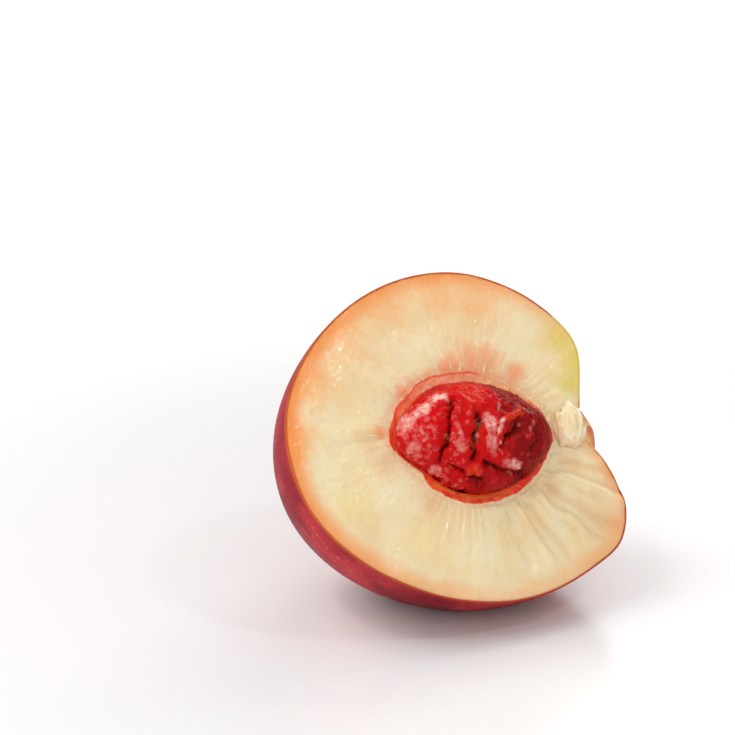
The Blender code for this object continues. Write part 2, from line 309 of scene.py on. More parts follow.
# Soft lights: name, place in metres, size, the property with its power, and whether the fruit mirrors it
LIGHTS = (
    ("key_light", (-0.55, 0.05, 0.62), 0.55, "key", False),
    ("back_light", (0.25, 0.60, 0.45), 0.50, "back", True),
    ("fill_light", (0.15, -0.75, 0.40), 0.60, "fill", False),
    ("side_light", (-0.60, -0.02, 0.12), 0.35, "side", False),
    ("sparkle_right", (0.40, -0.28, 0.72), 0.06, "spark", True),
    ("sparkle_left", (-0.36, -0.30, 0.74), 0.06, "spark", True),
)
LIGHT_AIM = Vector((0.0, 0.0, 0.03))
SENSOR_WIDTH = 36.0
LARGEST_SEED = 10000


def bell(distance, spread):
    return np.exp(-((distance / spread) ** 2))


def smooth_step(low, high, value):
    share = np.clip((value - low) / (high - low), 0.0, 1.0)
    return share * share * (3.0 - 2.0 * share)


def wrapped(angle):
    return np.arctan2(np.sin(angle), np.cos(angle))


def noise_at(points, scale, shift=0.0):
    """Smooth noise, about -1 to 1, at every point of an array that ends in X, Y, Z."""
    places = (points / scale + shift).reshape(-1, 3).tolist()
    return np.array([noise.noise(place) for place in places]).reshape(points.shape[:-1])


def layered_noise(points, layers):
    """Noise of several sizes: height, size and shift of each."""
    return sum(height * noise_at(points, size, shift) for height, size, shift in layers)


def domes_at(points, size, roundness):
    """0 to 1: rounded grains that lie side by side."""
    places = (points / size).reshape(-1, 3).tolist()
    near = np.array([noise.voronoi(place)[0][0] for place in places]).reshape(points.shape[:-1])
    return np.sqrt(np.clip(1.0 - (near / roundness) ** 2, 0.0, 1.0))


def turned_about_z(points, angle):
    cosine, sine = math.cos(angle), math.sin(angle)
    along = points[..., 0] * cosine - points[..., 1] * sine
    across = points[..., 0] * sine + points[..., 1] * cosine
    return np.stack([along, across, points[..., 2]], axis=-1)


def flat_points(x, y, z=0.0):
    return np.stack([x, y, np.zeros_like(x) + z], axis=-1)


def fruit_points(polar, turn):
    """Points of the skin: polar is 0 at the stem end, turn is 0 on the suture."""
    girth = np.sin(polar) * (1.0 + SHOULDER_SWELL * np.cos(polar) - WAIST_SWELL * np.cos(2.0 * polar))
    along = CORE_REACH * np.cos(polar)
    spread = STEM_HOLLOW_SPREAD * (1.0 - STEM_HOLLOW_NARROWING * np.sin(turn) ** 2)
    along -= STEM_HOLLOW_DEPTH * bell(polar, spread)
    along += BLOSSOM_TIP * bell(math.pi - polar, BLOSSOM_TIP_SPREAD)
    side = 1.0 + SUTURE_SIDE_SWELL * np.cos(turn)
    groove = GROOVE_DEPTH * bell(wrapped(turn), GROOVE_HALF_ANGLE)
    groove = groove * bell(polar - GROOVE_POLAR, GROOVE_POLAR_SPREAD)
    bulge = BULGE_HEIGHT * bell(wrapped(turn - math.pi), BULGE_HALF_ANGLE)
    bulge = bulge * bell(polar - BULGE_POLAR, BULGE_POLAR_SPREAD)
    across = (SUTURE_RADIUS * girth * side - groove + bulge) * np.cos(turn)
    return np.stack([along, across, CHEEK_RADIUS * girth * np.sin(turn)], axis=-1)


def resting_pose():
    """The turn from lying on its back to leaning, and the lift that leaves the flat spot at Z = 0."""
    turned = (
        Matrix.Rotation(FACE_HEADING, 4, "Z")
        @ Matrix.Rotation(FACE_TILT, 4, "X")
        @ Matrix.Rotation(CORE_ROLL, 4, "Z")
    )
    polar = math.pi * np.arange(1, CHEEK_STEPS)[:, None] / CHEEK_STEPS
    turn = math.pi * (1.0 + np.arange(CHEEK_STEPS + 1)[None, :] / CHEEK_STEPS)
    cheek = fruit_points(*np.broadcast_arrays(polar, turn)).reshape(-1, 3)
    world = cheek @ np.array(turned.to_3x3()).T
    lowest = world[world[:, 2].argmin()]
    return Matrix.Translation((-lowest[0], -lowest[1], -FLAT_DEPTH - lowest[2])) @ turned


POSE = resting_pose()
POSE_TURN = np.array(POSE.to_3x3())
POSE_MOVE = np.array(POSE.translation)


def placed(points):
    """From lying on its back to the resting pose."""
    return points @ POSE_TURN.T + POSE_MOVE


def settled(points, softness=0.3 * MM):
    """Presses what would reach below the surface flat, with a soft edge."""
    world = placed(points)
    height = world[..., 2]
    world[..., 2] = 0.5 * (height + np.sqrt(height * height + softness * softness))
    return (world - POSE_MOVE) @ POSE_TURN


def flatter(local):
    """What stone and pit shrink to across the cut face, in the direction of a point."""
    angle = np.arctan2(local[..., 1], local[..., 0])
    return 1.0 - FLATTER_SHARE * bell(wrapped(angle - FLATTER_ANGLE), FLATTER_SPREAD)


def almond_edge(around, half_sizes):
    """An almond's outline round its own centre, for an angle round the core."""
    along = half_sizes[0] * np.cos(around)
    across = half_sizes[1] * np.sin(around) * (1.0 - STONE_POINT * np.cos(around) ** 2)
    edge = flat_points(along, across)
    return turned_about_z(edge * flatter(edge)[..., None], STONE_TURN)


def from_pit(x, y):
    """Distance out from the pit's edge over the cut face, 0 inside it."""
    offset = turned_about_z(flat_points(x - PIT_CENTRE[0], y - PIT_CENTRE[1]), -STONE_TURN)
    reach = np.hypot(offset[..., 0] / PIT_HALF_SIZES[0], offset[..., 1] / PIT_HALF_SIZES[1])
    return np.maximum(0.0, reach / flatter(offset) - 1.0) * PIT_HALF_SIZES[1]


def fold_pattern(x, y, per_radian, wander):
    """A wave that runs round the pit, kept to the sector with the folds."""
    angle = np.arctan2(y - PIT_CENTRE[1], x - PIT_CENTRE[0])
    start, end = FOLD_SECTOR
    sector = smooth_step(start, start + FOLD_SECTOR_FADE, angle)
    sector = sector * smooth_step(end, end - FOLD_SECTOR_FADE, angle)
    out = from_pit(x, y)
    reach = smooth_step(0.0, FOLD_START, out) * (1.0 - smooth_step(*FOLD_FADE, out))
    sway = wander * noise_at(flat_points(x, y), FOLD_WANDER_SCALE)
    return np.sin(angle * math.tau * per_radian + sway) * sector * reach


def face_height(x, y):
    """The cut face's low relief, as in the part's source."""
    height = -LIP_FALL * np.exp(-from_pit(x, y) / LIP_WIDTH)
    height += FACE_WAVE * noise_at(flat_points(x, y), FACE_WAVE_SCALE)
    height += FOLD_HEIGHT * fold_pattern(x, y, FOLDS_PER_RADIAN, FOLD_WANDER)
    stem_distance = np.hypot(x - STEM_DIP_CENTRE[0], y - STEM_DIP_CENTRE[1])
    height -= STEM_DIP_DEPTH * bell(stem_distance, STEM_DIP_SPREAD)
    outer_fade, inner_fade = CREASE_FADE
    window = smooth_step(CREASE_END, CREASE_END + outer_fade, x)
    window = window * smooth_step(CREASE_START + inner_fade, CREASE_START, x)
    return height - CREASE_DEPTH * bell(y - CREASE_ACROSS, CREASE_HALF_WIDTH) * window


def cheek_ring(tilt, columns):
    """Polar and turn angles of a ring of the cheek: tilt is 0 at the cut and a quarter turn at the back."""
    around = math.tau * np.arange(columns) / columns
    along = np.cos(around) * math.cos(tilt)
    across = np.sin(around) * math.cos(tilt)
    down = np.full(columns, -math.sin(tilt))
    return np.arccos(np.clip(along, -1.0, 1.0)), np.arctan2(down, across)


def cheek_rows(tilts, columns, depth):
    """Rings of the cheek from the cut to the back, sunk by depth below the skin's own surface."""
    angles = [cheek_ring(tilt, columns) for tilt in tilts]
    rows = settled(np.array([fruit_points(polar, turn) for polar, turn in angles]))
    step_round = np.roll(rows, -1, axis=1) - np.roll(rows, 1, axis=1)
    step_back = np.gradient(rows, axis=0)
    outward = np.cross(step_round, step_back)
    outward[0, :, 2] = 0.0
    outward /= np.linalg.norm(outward, axis=-1, keepdims=True)
    middle = rows.mean(axis=(0, 1))
    outward *= np.sign(((rows - middle) * outward).sum(axis=-1, keepdims=True).mean())
    sunk = rows - outward * depth
    near_cut = np.exp(np.minimum(sunk[..., 2], 0.0) / CUT_BLEND)
    sunk[..., 2] += face_height(sunk[..., 0], sunk[..., 1]) * near_cut
    return sunk


def back_tip(depth):
    tip = settled(fruit_points(np.array([math.pi / 2.0]), np.array([-math.pi / 2.0])))[0]
    return tip + np.array((0.0, 0.0, depth))


def ringed_mesh(name, first_tip, rows, last_tip):
    """A closed mesh from rings of equally many points, with a tip at each end."""
    rings, columns = rows.shape[:2]
    points = np.vstack([[first_tip], rows.reshape(-1, 3), [last_tip]])
    index = 1 + np.arange(rings * columns).reshape(rings, columns)
    beside = np.roll(index, -1, axis=1)
    quads = np.stack([index[:-1], index[1:], beside[1:], beside[:-1]], axis=-1).reshape(-1, 4)
    faces = quads.tolist()
    faces += [[0, a, b] for a, b in zip(index[0].tolist(), beside[0].tolist())]
    last = len(points) - 1
    faces += [[last, b, a] for a, b in zip(index[-1].tolist(), beside[-1].tolist())]
    mesh = bpy.data.meshes.new(name)
    mesh.from_pydata(placed(points).tolist(), [], faces)
    shape = bmesh.new()
    shape.from_mesh(mesh)
    bmesh.ops.recalc_face_normals(shape, faces=shape.faces)
    if shape.calc_volume(signed=True) < 0.0:
        bmesh.ops.reverse_faces(shape, faces=shape.faces)
    shape.to_mesh(mesh)
    shape.free()
    mesh.shade_smooth()
    return mesh


def store(mesh, name, values, tips=(0.0, 0.0)):
    """Keeps one number or one vector for each point, with a value of its own for the two tips."""
    kind, key = ("FLOAT_VECTOR", "vector") if values.ndim == 3 else ("FLOAT", "value")
    flat = values.reshape(-1, values.shape[-1]) if values.ndim == 3 else values.reshape(-1)
    layer = mesh.attributes.new(name, kind, "POINT")
    every = np.concatenate([[tips[0]], flat, [tips[1]]])
    layer.data.foreach_set(key, every.astype(np.float32).ravel())


def patches_at(x, y, patches):
    """0 to 1: how far inside any of the round patches a point is."""
    total = np.zeros_like(x)
    for along, across, radius in patches:
        distance = np.hypot(x - along * MM, y - across * MM)
        total = np.maximum(total, bell(distance, radius * MM))
    return total


def finish_piece(mesh, material, slot, *nodes):
    """Puts a finished mesh in the scene as a piece of the frame."""
    piece = bpy.data.objects.new(mesh.name, mesh)
    bpy.context.scene.collection.objects.link(piece)
    mesh.materials.clear()
    mesh.materials.append(material)
    if nodes:
        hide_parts(*nodes)
    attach(piece, BODY)
    return piece


class NodeWriter:
    """Writes the nodes of a tree as short calls."""

    def __init__(self, tree):
        self.tree = tree

    def feed(self, socket, value):
        if isinstance(value, bpy.types.NodeSocket):
            self.tree.links.new(value, socket)
        elif socket.type == "RGBA" and len(value) == 3:
            socket.default_value = (*value, 1.0)
        else:
            socket.default_value = value

    def node(self, kind, inputs=None, **settings):
        made = self.tree.nodes.new(kind)
        for setting, value in settings.items():
            setattr(made, setting, value)
        for key, value in (inputs or {}).items():
            self.feed(made.inputs[key], value)
        return made

    def maths(self, operation, first, second=0.0):
        return self.node("ShaderNodeMath", {0: first, 1: second}, operation=operation).outputs[0]

    def times(self, first, second):
        return self.maths("MULTIPLY", first, second)

    def plus(self, first, second):
        return self.maths("ADD", first, second)


class Recipe(NodeWriter):
    """A material's node tree."""

    def __init__(self, name, **settings):
        self.material = bpy.data.materials.new(name)
        self.material.use_nodes = True
        super().__init__(self.material.node_tree)
        self.shade(**settings)

    def shade(self, **settings):
        """Gives the shader's sockets a plain value or what a node puts out."""
        shader = self.tree.nodes["Principled BSDF"]
        for name, value in settings.items():
            self.feed(shader.inputs[name.replace("_", " ")], value)

    def where(self):
        return self.node("ShaderNodeTexCoord").outputs["Object"]

    def attribute(self, name, output="Fac"):
        return self.node("ShaderNodeAttribute", attribute_name=name).outputs[output]

    def stretched(self, vector, stretch):
        return self.node("ShaderNodeMapping", {"Vector": vector, "Scale": stretch}).outputs["Vector"]

    def grain(self, vector, scale, detail=2.0, roughness=0.5, warp=0.0):
        inputs = {
            "Vector": vector, "Scale": scale, "Detail": detail, "Roughness": roughness, "Distortion": warp,
        }
        return self.node("ShaderNodeTexNoise", inputs).outputs["Fac"]

    def cells(self, vector, scale):
        return self.node("ShaderNodeTexVoronoi", {"Vector": vector, "Scale": scale}).outputs["Distance"]

    def span(self, value, low, high, start=0.0, end=1.0):
        """Eases from start to end as value goes from low to high."""
        inputs = {"Value": value, "From Min": low, "From Max": high, "To Min": start, "To Max": end}
        return self.node("ShaderNodeMapRange", inputs, interpolation_type="SMOOTHSTEP").outputs["Result"]

    def offset(self, value, cloud, reach):
        """Moves value by reach times what a cloud of about 0 to 1 is off its middle."""
        return self.plus(value, self.times(self.plus(cloud, -0.5), reach))

    def halfway(self, first, second):
        return self.times(self.plus(first, second), 0.5)

    def stripe(self, value, middle, most):
        """A soft stripe where value is close to middle."""
        away = self.maths("ABSOLUTE", self.plus(value, -middle))
        return self.span(away, 0.05, 0.32, most, 0.0)

    def part(self, vector, axis):
        return self.node("ShaderNodeSeparateXYZ", {"Vector": vector}).outputs[axis]

    def mix(self, share, first, second):
        return self.node("ShaderNodeMix", {0: share, 6: first, 7: second}, data_type="RGBA").outputs[2]

    def bump(self, height, distance, strength, under=None):
        inputs = {"Height": height, "Distance": distance, "Strength": strength}
        if under is not None:
            inputs["Normal"] = under
        return self.node("ShaderNodeBump", inputs).outputs["Normal"]


def skin_material(colours):
    """Smooth deep red skin with yellow flames, fine pale specks and a soft gloss."""
    recipe = Recipe(
        "nectarine_skin",
        IOR=1.42,
        Subsurface_Weight=0.12,
        Subsurface_Radius=(1.0, 0.3, 0.15),
        Subsurface_Scale=1.2 * MM,
        Coat_Weight=0.04,
        Coat_Roughness=0.15,
        Coat_IOR=1.4,
        Specular_IOR_Level=0.12,
    )
    mix, span, times, grain = recipe.mix, recipe.span, recipe.times, recipe.grain
    meridian = recipe.attribute("meridian", "Vector")
    ground = recipe.attribute("ground_colour")
    where = recipe.where()
    cloud = grain(where, 75.0, 4.0, 0.55, 0.4)
    flames = grain(recipe.stretched(meridian, (3.2, 3.2, 0.85)), 1.6, 5.0, 0.62, 0.7)
    streaks = grain(recipe.stretched(meridian, (15.0, 15.0, 1.3)), 1.5, 3.0, 0.6)
    red = mix(span(cloud, 0.36, 0.66), colours.skin_deep, colours.skin_red)
    rosy = times(span(streaks, 0.45, 0.75), span(cloud, 0.35, 0.7))
    red = mix(times(rosy, 0.55), red, colours.skin_rose)
    reach = recipe.offset(recipe.offset(ground, flames, 1.7), streaks, 0.45)
    green = recipe.attribute("green_patch")
    reach = recipe.plus(reach, span(green, 0.15, 0.60, 0.0, 0.9))
    colour = mix(span(reach, 0.30, 0.62), red, colours.skin_orange)
    colour = mix(span(reach, 0.48, 0.86), colour, colours.skin_yellow)
    specks = recipe.cells(where, 620.0)
    speck_share = times(span(specks, 0.10, 0.22, 1.0, 0.0), span(cloud, 0.42, 0.6))
    colour = mix(times(speck_share, 0.42), colour, colours.skin_speck)
    colour = mix(recipe.attribute("scar"), colour, colours.scar)
    # The skin's cut edge turns orange where the rim glows: partly flesh colour, partly painted glow of light
    # shining through.
    edge = mix(span(recipe.attribute("rim_glow"), 0.35, 0.8, 0.0, 0.3), colours.skin_edge, colours.rim_orange)
    edge = mix(span(green, 0.15, 0.50, 0.0, 0.9), edge, colours.flesh_green)
    colour = mix(times(recipe.attribute("edge"), 0.85), colour, edge)
    gloss = span(grain(where, 160.0, 3.0), 0.3, 0.7, 0.24, 0.36)
    normal = recipe.bump(grain(where, 900.0), 0.02 * MM, 0.35)
    normal = recipe.bump(span(specks, 0.05, 0.30), 0.02 * MM, 0.4, normal)
    recipe.shade(Base_Color=colour, Roughness=gloss, Normal=normal)
    return recipe.material


def flesh_material(colours):
    """Wet cut flesh: cream with yellow and peach areas, orange by the skin, red round the stone; some painted
    glow and shade.
    """
    recipe = Recipe(
        "nectarine_flesh",
        IOR=1.38,
        Subsurface_Weight=0.50,
        Subsurface_Radius=(1.0, 0.6, 0.3),
        Subsurface_Scale=1.2 * MM,
        Coat_Roughness=0.12,
        Coat_IOR=1.33,
    )
    mix, span, times, grain, offset = recipe.mix, recipe.span, recipe.times, recipe.grain, recipe.offset
    where = recipe.where()
    fan = recipe.attribute("fan", "Vector")
    along, across = recipe.part(fan, "X"), recipe.part(fan, "Y")
    rim = recipe.attribute("rim_distance")
    pit = recipe.attribute("pit_distance")
    upper = span(across, 0.0, 0.75)
    blotches = grain(where, 95.0, 4.0, 0.6, 0.5)
    fine_blotches = grain(where, 420.0, 4.0, 0.6)
    streaks = grain(recipe.stretched(fan, (9.0, 9.0, 1.4)), 1.0, 4.0, 0.6, 0.3)
    threads = grain(recipe.stretched(fan, (30.0, 30.0, 1.6)), 1.0, 2.0, 0.5, 0.2)
    colour = mix(span(blotches, 0.34, 0.68), colours.flesh_cream, colours.flesh_pale)
    colour = mix(span(fine_blotches, 0.5, 0.8, 0.0, 0.35), colour, colours.flesh_yellow)
    colour = mix(span(streaks, 0.50, 0.72, 0.0, 0.30), colour, colours.flesh_yellow)
    colour = mix(span(threads, 0.55, 0.75, 0.0, 0.18), colour, colours.flesh_pale)
    clouds = grain(where, 210.0, 4.0, 0.6, 0.5)
    colour = mix(span(clouds, 0.48, 0.68, 0.0, 0.55), colour, colours.flesh_pale)
    grained = recipe.halfway(recipe.halfway(streaks, threads), fine_blotches)
    for name, tint, share in (
        ("yellow_patch", colours.flesh_yellow, 0.55),
        ("green_patch", colours.flesh_green, 0.85),
        ("peach_patch", colours.flesh_peach, 0.80),
        ("tan_patch", colours.flesh_tan, 0.55),
        ("blush_patch", colours.flesh_blush, 0.72),
    ):
        broken = span(offset(recipe.attribute(name), grained, 1.5), 0.0, 1.15)
        colour = mix(times(broken, share), colour, tint)
    # Tan in the fold valleys: partly the folds' own tan streaks, partly painted shade in the creases.
    fold_tan_and_shade = span(recipe.attribute("fold"), 0.05, -1.1)
    colour = mix(times(fold_tan_and_shade, 0.30), colour, colours.flesh_tan)
    # Orange at the skin: partly the flesh's own colour, partly painted glow of light shining through the rim.
    glow = times(span(offset(rim, blotches, 3.0), 0.0, 4.8, 1.0, 0.0), recipe.attribute("rim_glow"))
    colour = mix(glow, colour, colours.rim_orange)
    colour = mix(times(span(rim, 0.05, 0.55, 1.0, 0.0), 0.15), colour, colours.rim_red)
    ragged = offset(offset(pit, streaks, -2.4), threads, -1.6)
    haze = times(span(ragged, 0.2, 3.4, 1.0, 0.0), span(upper, 0.0, 1.0, 0.12, 0.50))
    colour = mix(haze, colour, colours.flesh_blush)
    tip = span(along, -0.80, -0.99, 0.0, 0.7)
    edge = recipe.plus(offset(pit, fine_blotches, -0.9), tip)
    band = mix(span(fine_blotches, 0.42, 0.62), colours.lip_orange, colours.pit_red)
    pink = mix(span(fine_blotches, 0.40, 0.62), colours.lit_lip_pink, colours.flesh_blush)
    golden = times(recipe.stripe(edge, -0.85, 0.60), span(along, 0.5, -0.2))
    band = mix(golden, band, colours.lip_gold)
    # The upper lip turns pink: partly its own colour, partly painted light on the lit upper wall of the pit.
    band = mix(times(upper, span(along, -0.80, -0.45, 0.25, 1.0)), band, pink)
    pale = times(span(along, 0.30, 0.60), span(across, 0.20, 0.45))
    pale = times(pale, span(fine_blotches, 0.30, 0.60, 0.55, 1.0))
    band = mix(pale, band, colours.flesh_peach)
    colour = mix(span(edge, 0.15, 0.5, 1.0, 0.0), colour, band)
    line = times(recipe.stripe(edge, 0.2, 1.0), span(upper, 0.0, 1.0, 0.25, 0.75))
    line = times(line, span(pale, 0.0, 0.7, 1.0, 0.1))
    colour = mix(line, colour, colours.pit_red)
    # Painted shade: darker red deep in the pit, under the stone.
    deep = mix(span(fine_blotches, 0.35, 0.7), colours.pit_deep_shade, colours.pit_red)
    colour = mix(span(edge, -1.9, -1.4, 1.0, 0.0), colour, deep)
    film = grain(where, 330.0, 3.0, 0.6)
    gloss = span(film, 0.35, 0.65, 0.26, 0.48)
    wet = times(span(film, 0.42, 0.62, 0.10, 0.62), span(rim, 0.5, 5.0, 0.2, 1.0))
    normal = recipe.bump(grain(where, 1500.0, 3.0, 0.6), 0.05 * MM, 0.5)
    normal = recipe.bump(threads, 0.12 * MM, 0.35, normal)
    normal = recipe.bump(film, 0.22 * MM, 0.6, normal)
    recipe.shade(Base_Color=colour, Roughness=gloss, Coat_Weight=wet, Normal=normal)
    return recipe.material


def stone_material(colours):
    """Furrowed stone soaked red, with painted shade in the furrows, painted highlights on the lobes, and pale
    films of pulp.
    """
    recipe = Recipe(
        "nectarine_stone",
        IOR=1.42,
        Subsurface_Weight=0.15,
        Subsurface_Radius=(1.0, 0.2, 0.12),
        Subsurface_Scale=0.6 * MM,
        Coat_Roughness=0.05,
        Coat_IOR=1.38,
        Specular_IOR_Level=0.07,
    )
    mix, span, times, grain, offset = recipe.mix, recipe.span, recipe.times, recipe.grain, recipe.offset
    where = recipe.where()
    furrow = recipe.attribute("furrow")
    film = recipe.attribute("film")
    crest = recipe.attribute("crest")
    dusk = recipe.attribute("dusk")
    cloud = grain(where, 300.0, 4.0, 0.62, 0.6)
    wide = grain(where, 110.0, 3.0, 0.55, 0.4)
    mottle = grain(where, 900.0, 3.0, 0.6, 0.3)
    red = mix(span(wide, 0.50, 0.66, 0.0, 0.5), colours.stone_red, colours.stone_orange)
    # Painted highlights: rose on the raised crests of the lobes and grains.
    rosy = span(offset(crest, cloud, 2.2), 0.50, 1.1)
    red = mix(times(rosy, 0.50), red, colours.stone_crest_highlight)
    maroon = mix(span(cloud, 0.50, 0.68, 0.0, 0.6), colours.stone_maroon, colours.stone_red)
    maroon = mix(times(rosy, 0.50), maroon, colours.stone_crest_highlight)
    colour = mix(dusk, red, maroon)
    warm = span(offset(recipe.attribute("warm"), mottle, 0.8), 0.25, 0.75, 0.0, 0.9)
    colour = mix(warm, colour, colours.stone_orange)
    # Painted highlights: pink specks on the tops of the grains, most where films lie.
    crest_highlight = span(offset(crest, mottle, 1.9), 0.62, 1.10)
    crest_highlight = times(crest_highlight, span(recipe.attribute("granular"), 0.45, 1.0, 0.10, 0.48))
    crest_highlight = times(crest_highlight, span(offset(film, cloud, 1.2), -0.1, 0.5, 0.25, 1.0))
    colour = mix(crest_highlight, colour, colours.film_pink)
    speckle = grain(where, 1900.0, 3.0, 0.65)
    torn = offset(offset(offset(film, cloud, 1.2), mottle, 0.8), speckle, 0.5)
    thin = times(span(torn, 0.22, 0.80), span(mottle, 0.35, 0.62, 0.45, 0.85))
    colour = mix(thin, colour, colours.film_pink)
    colour = mix(span(torn, 0.72, 1.30, 0.0, 0.82), colour, colours.film_white)
    # Painted shade: dark red-brown in the furrows, in the cracks and between the lobes.
    colour = mix(span(offset(furrow, mottle, 0.5), 0.35, 1.0), colour, colours.stone_furrow_shade)
    tissue = times(span(offset(cloud, mottle, 0.5), 0.54, 0.64), span(furrow, 0.25, 0.60))
    colour = mix(times(tissue, 0.48), colour, colours.stone_gold)
    gloss = span(cloud, 0.3, 0.7, 0.24, 0.46)
    wet = times(span(furrow, 0.05, 0.5, 0.34, 0.05), span(dusk, 0.0, 1.0, 1.0, 0.25))
    normal = recipe.bump(mottle, 0.16 * MM, 0.9)
    normal = recipe.bump(grain(where, 2600.0, 3.0, 0.6), 0.06 * MM, 0.7, normal)
    recipe.shade(Base_Color=colour, Roughness=gloss, Coat_Weight=wet, Normal=normal)
    return recipe.material


def strand_material(colours):
    """Torn flesh: pale, wet and half clear."""
    recipe = Recipe(
        "torn_flesh",
        IOR=1.38,
        Subsurface_Weight=0.80,
        Subsurface_Radius=(1.0, 0.88, 0.62),
        Subsurface_Scale=1.0 * MM,
        Coat_Weight=0.7,
        Coat_Roughness=0.08,
    )
    where = recipe.where()
    cloud = recipe.grain(where, 330.0, 4.0, 0.6, 0.4)
    colour = recipe.mix(recipe.span(cloud, 0.35, 0.65), colours.strand_cream, colours.strand_white)
    colour = recipe.mix(recipe.attribute("root_tint"), colour, colours.flesh_tan)
    gloss = recipe.span(cloud, 0.3, 0.7, 0.2, 0.4)
    normal = recipe.bump(recipe.grain(where, 1900.0, 3.0), 0.06 * MM, 0.6)
    recipe.shade(Base_Color=colour, Roughness=gloss, Normal=normal)
    return recipe.material


def plain_wet_material(name, tint, roughness):
    """One wet tint with a little cloud in it, for fibres and juice."""
    recipe = Recipe(
        name,
        IOR=1.36,
        Specular_IOR_Level=0.3,
        Coat_Weight=0.5,
        Coat_Roughness=0.06,
    )
    cloud = recipe.grain(recipe.where(), 500.0, 3.0)
    paler = tuple(min(1.0, channel * 1.25 + 0.03) for channel in tint)
    colour = recipe.mix(recipe.span(cloud, 0.3, 0.7), tint, paler)
    gloss = recipe.span(cloud, 0.3, 0.7, roughness, roughness + 0.12)
    recipe.shade(Base_Color=colour, Roughness=gloss)
    return recipe.material


def skin_mesh(settings):
    """A thin closed shell: the outer skin, a rounded edge at the cut, and the inner side."""
    columns = settings.columns
    thickness = settings.skin_thickness
    shares = np.arange(settings.skin_rings) / settings.skin_rings
    outer_tilts = (math.pi / 2.0) * shares**SKIN_RING_SPACING
    inner_tilts = outer_tilts[:: settings.skin_rings // INNER_SKIN_RINGS]
    outer = cheek_rows(outer_tilts, columns, 0.0)
    inner = cheek_rows(inner_tilts, columns, thickness)
    edge = 0.5 * (outer[0] + inner[0]) + np.array((0.0, 0.0, SKIN_EDGE_ROUNDING * thickness))
    rows = np.concatenate([outer[::-1], edge[None], inner])
    mesh = ringed_mesh("nectarine_skin", back_tip(0.0), rows, back_tip(thickness))
    tilts = np.concatenate([outer_tilts[::-1], [0.0], inner_tilts])
    polar, turn = np.array([cheek_ring(tilt, columns) for tilt in tilts]).swapaxes(0, 1)
    back = (np.float64(math.pi / 2.0), np.float64(-math.pi / 2.0))
    store(mesh, "meridian", meridian_at(polar, turn), [meridian_at(*back)] * 2)
    store(mesh, "ground_colour", ground_at(polar, turn), [ground_at(*back)] * 2)
    store(mesh, "scar", scar_at(polar))
    from_cut = np.maximum(0.0, -rows[..., 2])
    store(mesh, "edge", np.exp(-from_cut / CUT_EDGE_WIDTH))
    store(mesh, "rim_glow", rim_glow_at(rows[..., 0], rows[..., 1]))
    green = patches_at(rows[..., 0], rows[..., 1], PATCHES["green_patch"])
    store(mesh, "green_patch", green * np.exp(-from_cut / GREEN_SKIN_WIDTH))
    return mesh


def meridian_at(polar, turn):
    return np.stack([np.cos(turn), np.sin(turn), polar], axis=-1)


def ground_at(polar, turn):
    """0 to 1: how much of the yellow ground colour shows through the red."""
    heading = np.stack([np.cos(polar), np.sin(polar) * np.cos(turn), np.sin(polar) * np.sin(turn)], axis=-1)
    ground = STEM_GROUND * bell(polar, STEM_GROUND_SPREAD)
    for middle, share, spread in GROUND_SPOTS:
        away = np.arccos(np.clip(heading @ np.array(middle), -1.0, 1.0))
        ground = np.maximum(ground, share * bell(away, spread))
    return ground


def scar_at(polar):
    """The dry scar at the bottom of the stem hollow and the dark point at the blossom end."""
    stem = 1.0 - smooth_step(*STEM_SCAR, polar)
    blossom = BLOSSOM_DARKNESS * (1.0 - smooth_step(*BLOSSOM_POINT, math.pi - polar))
    return np.maximum(stem, blossom)


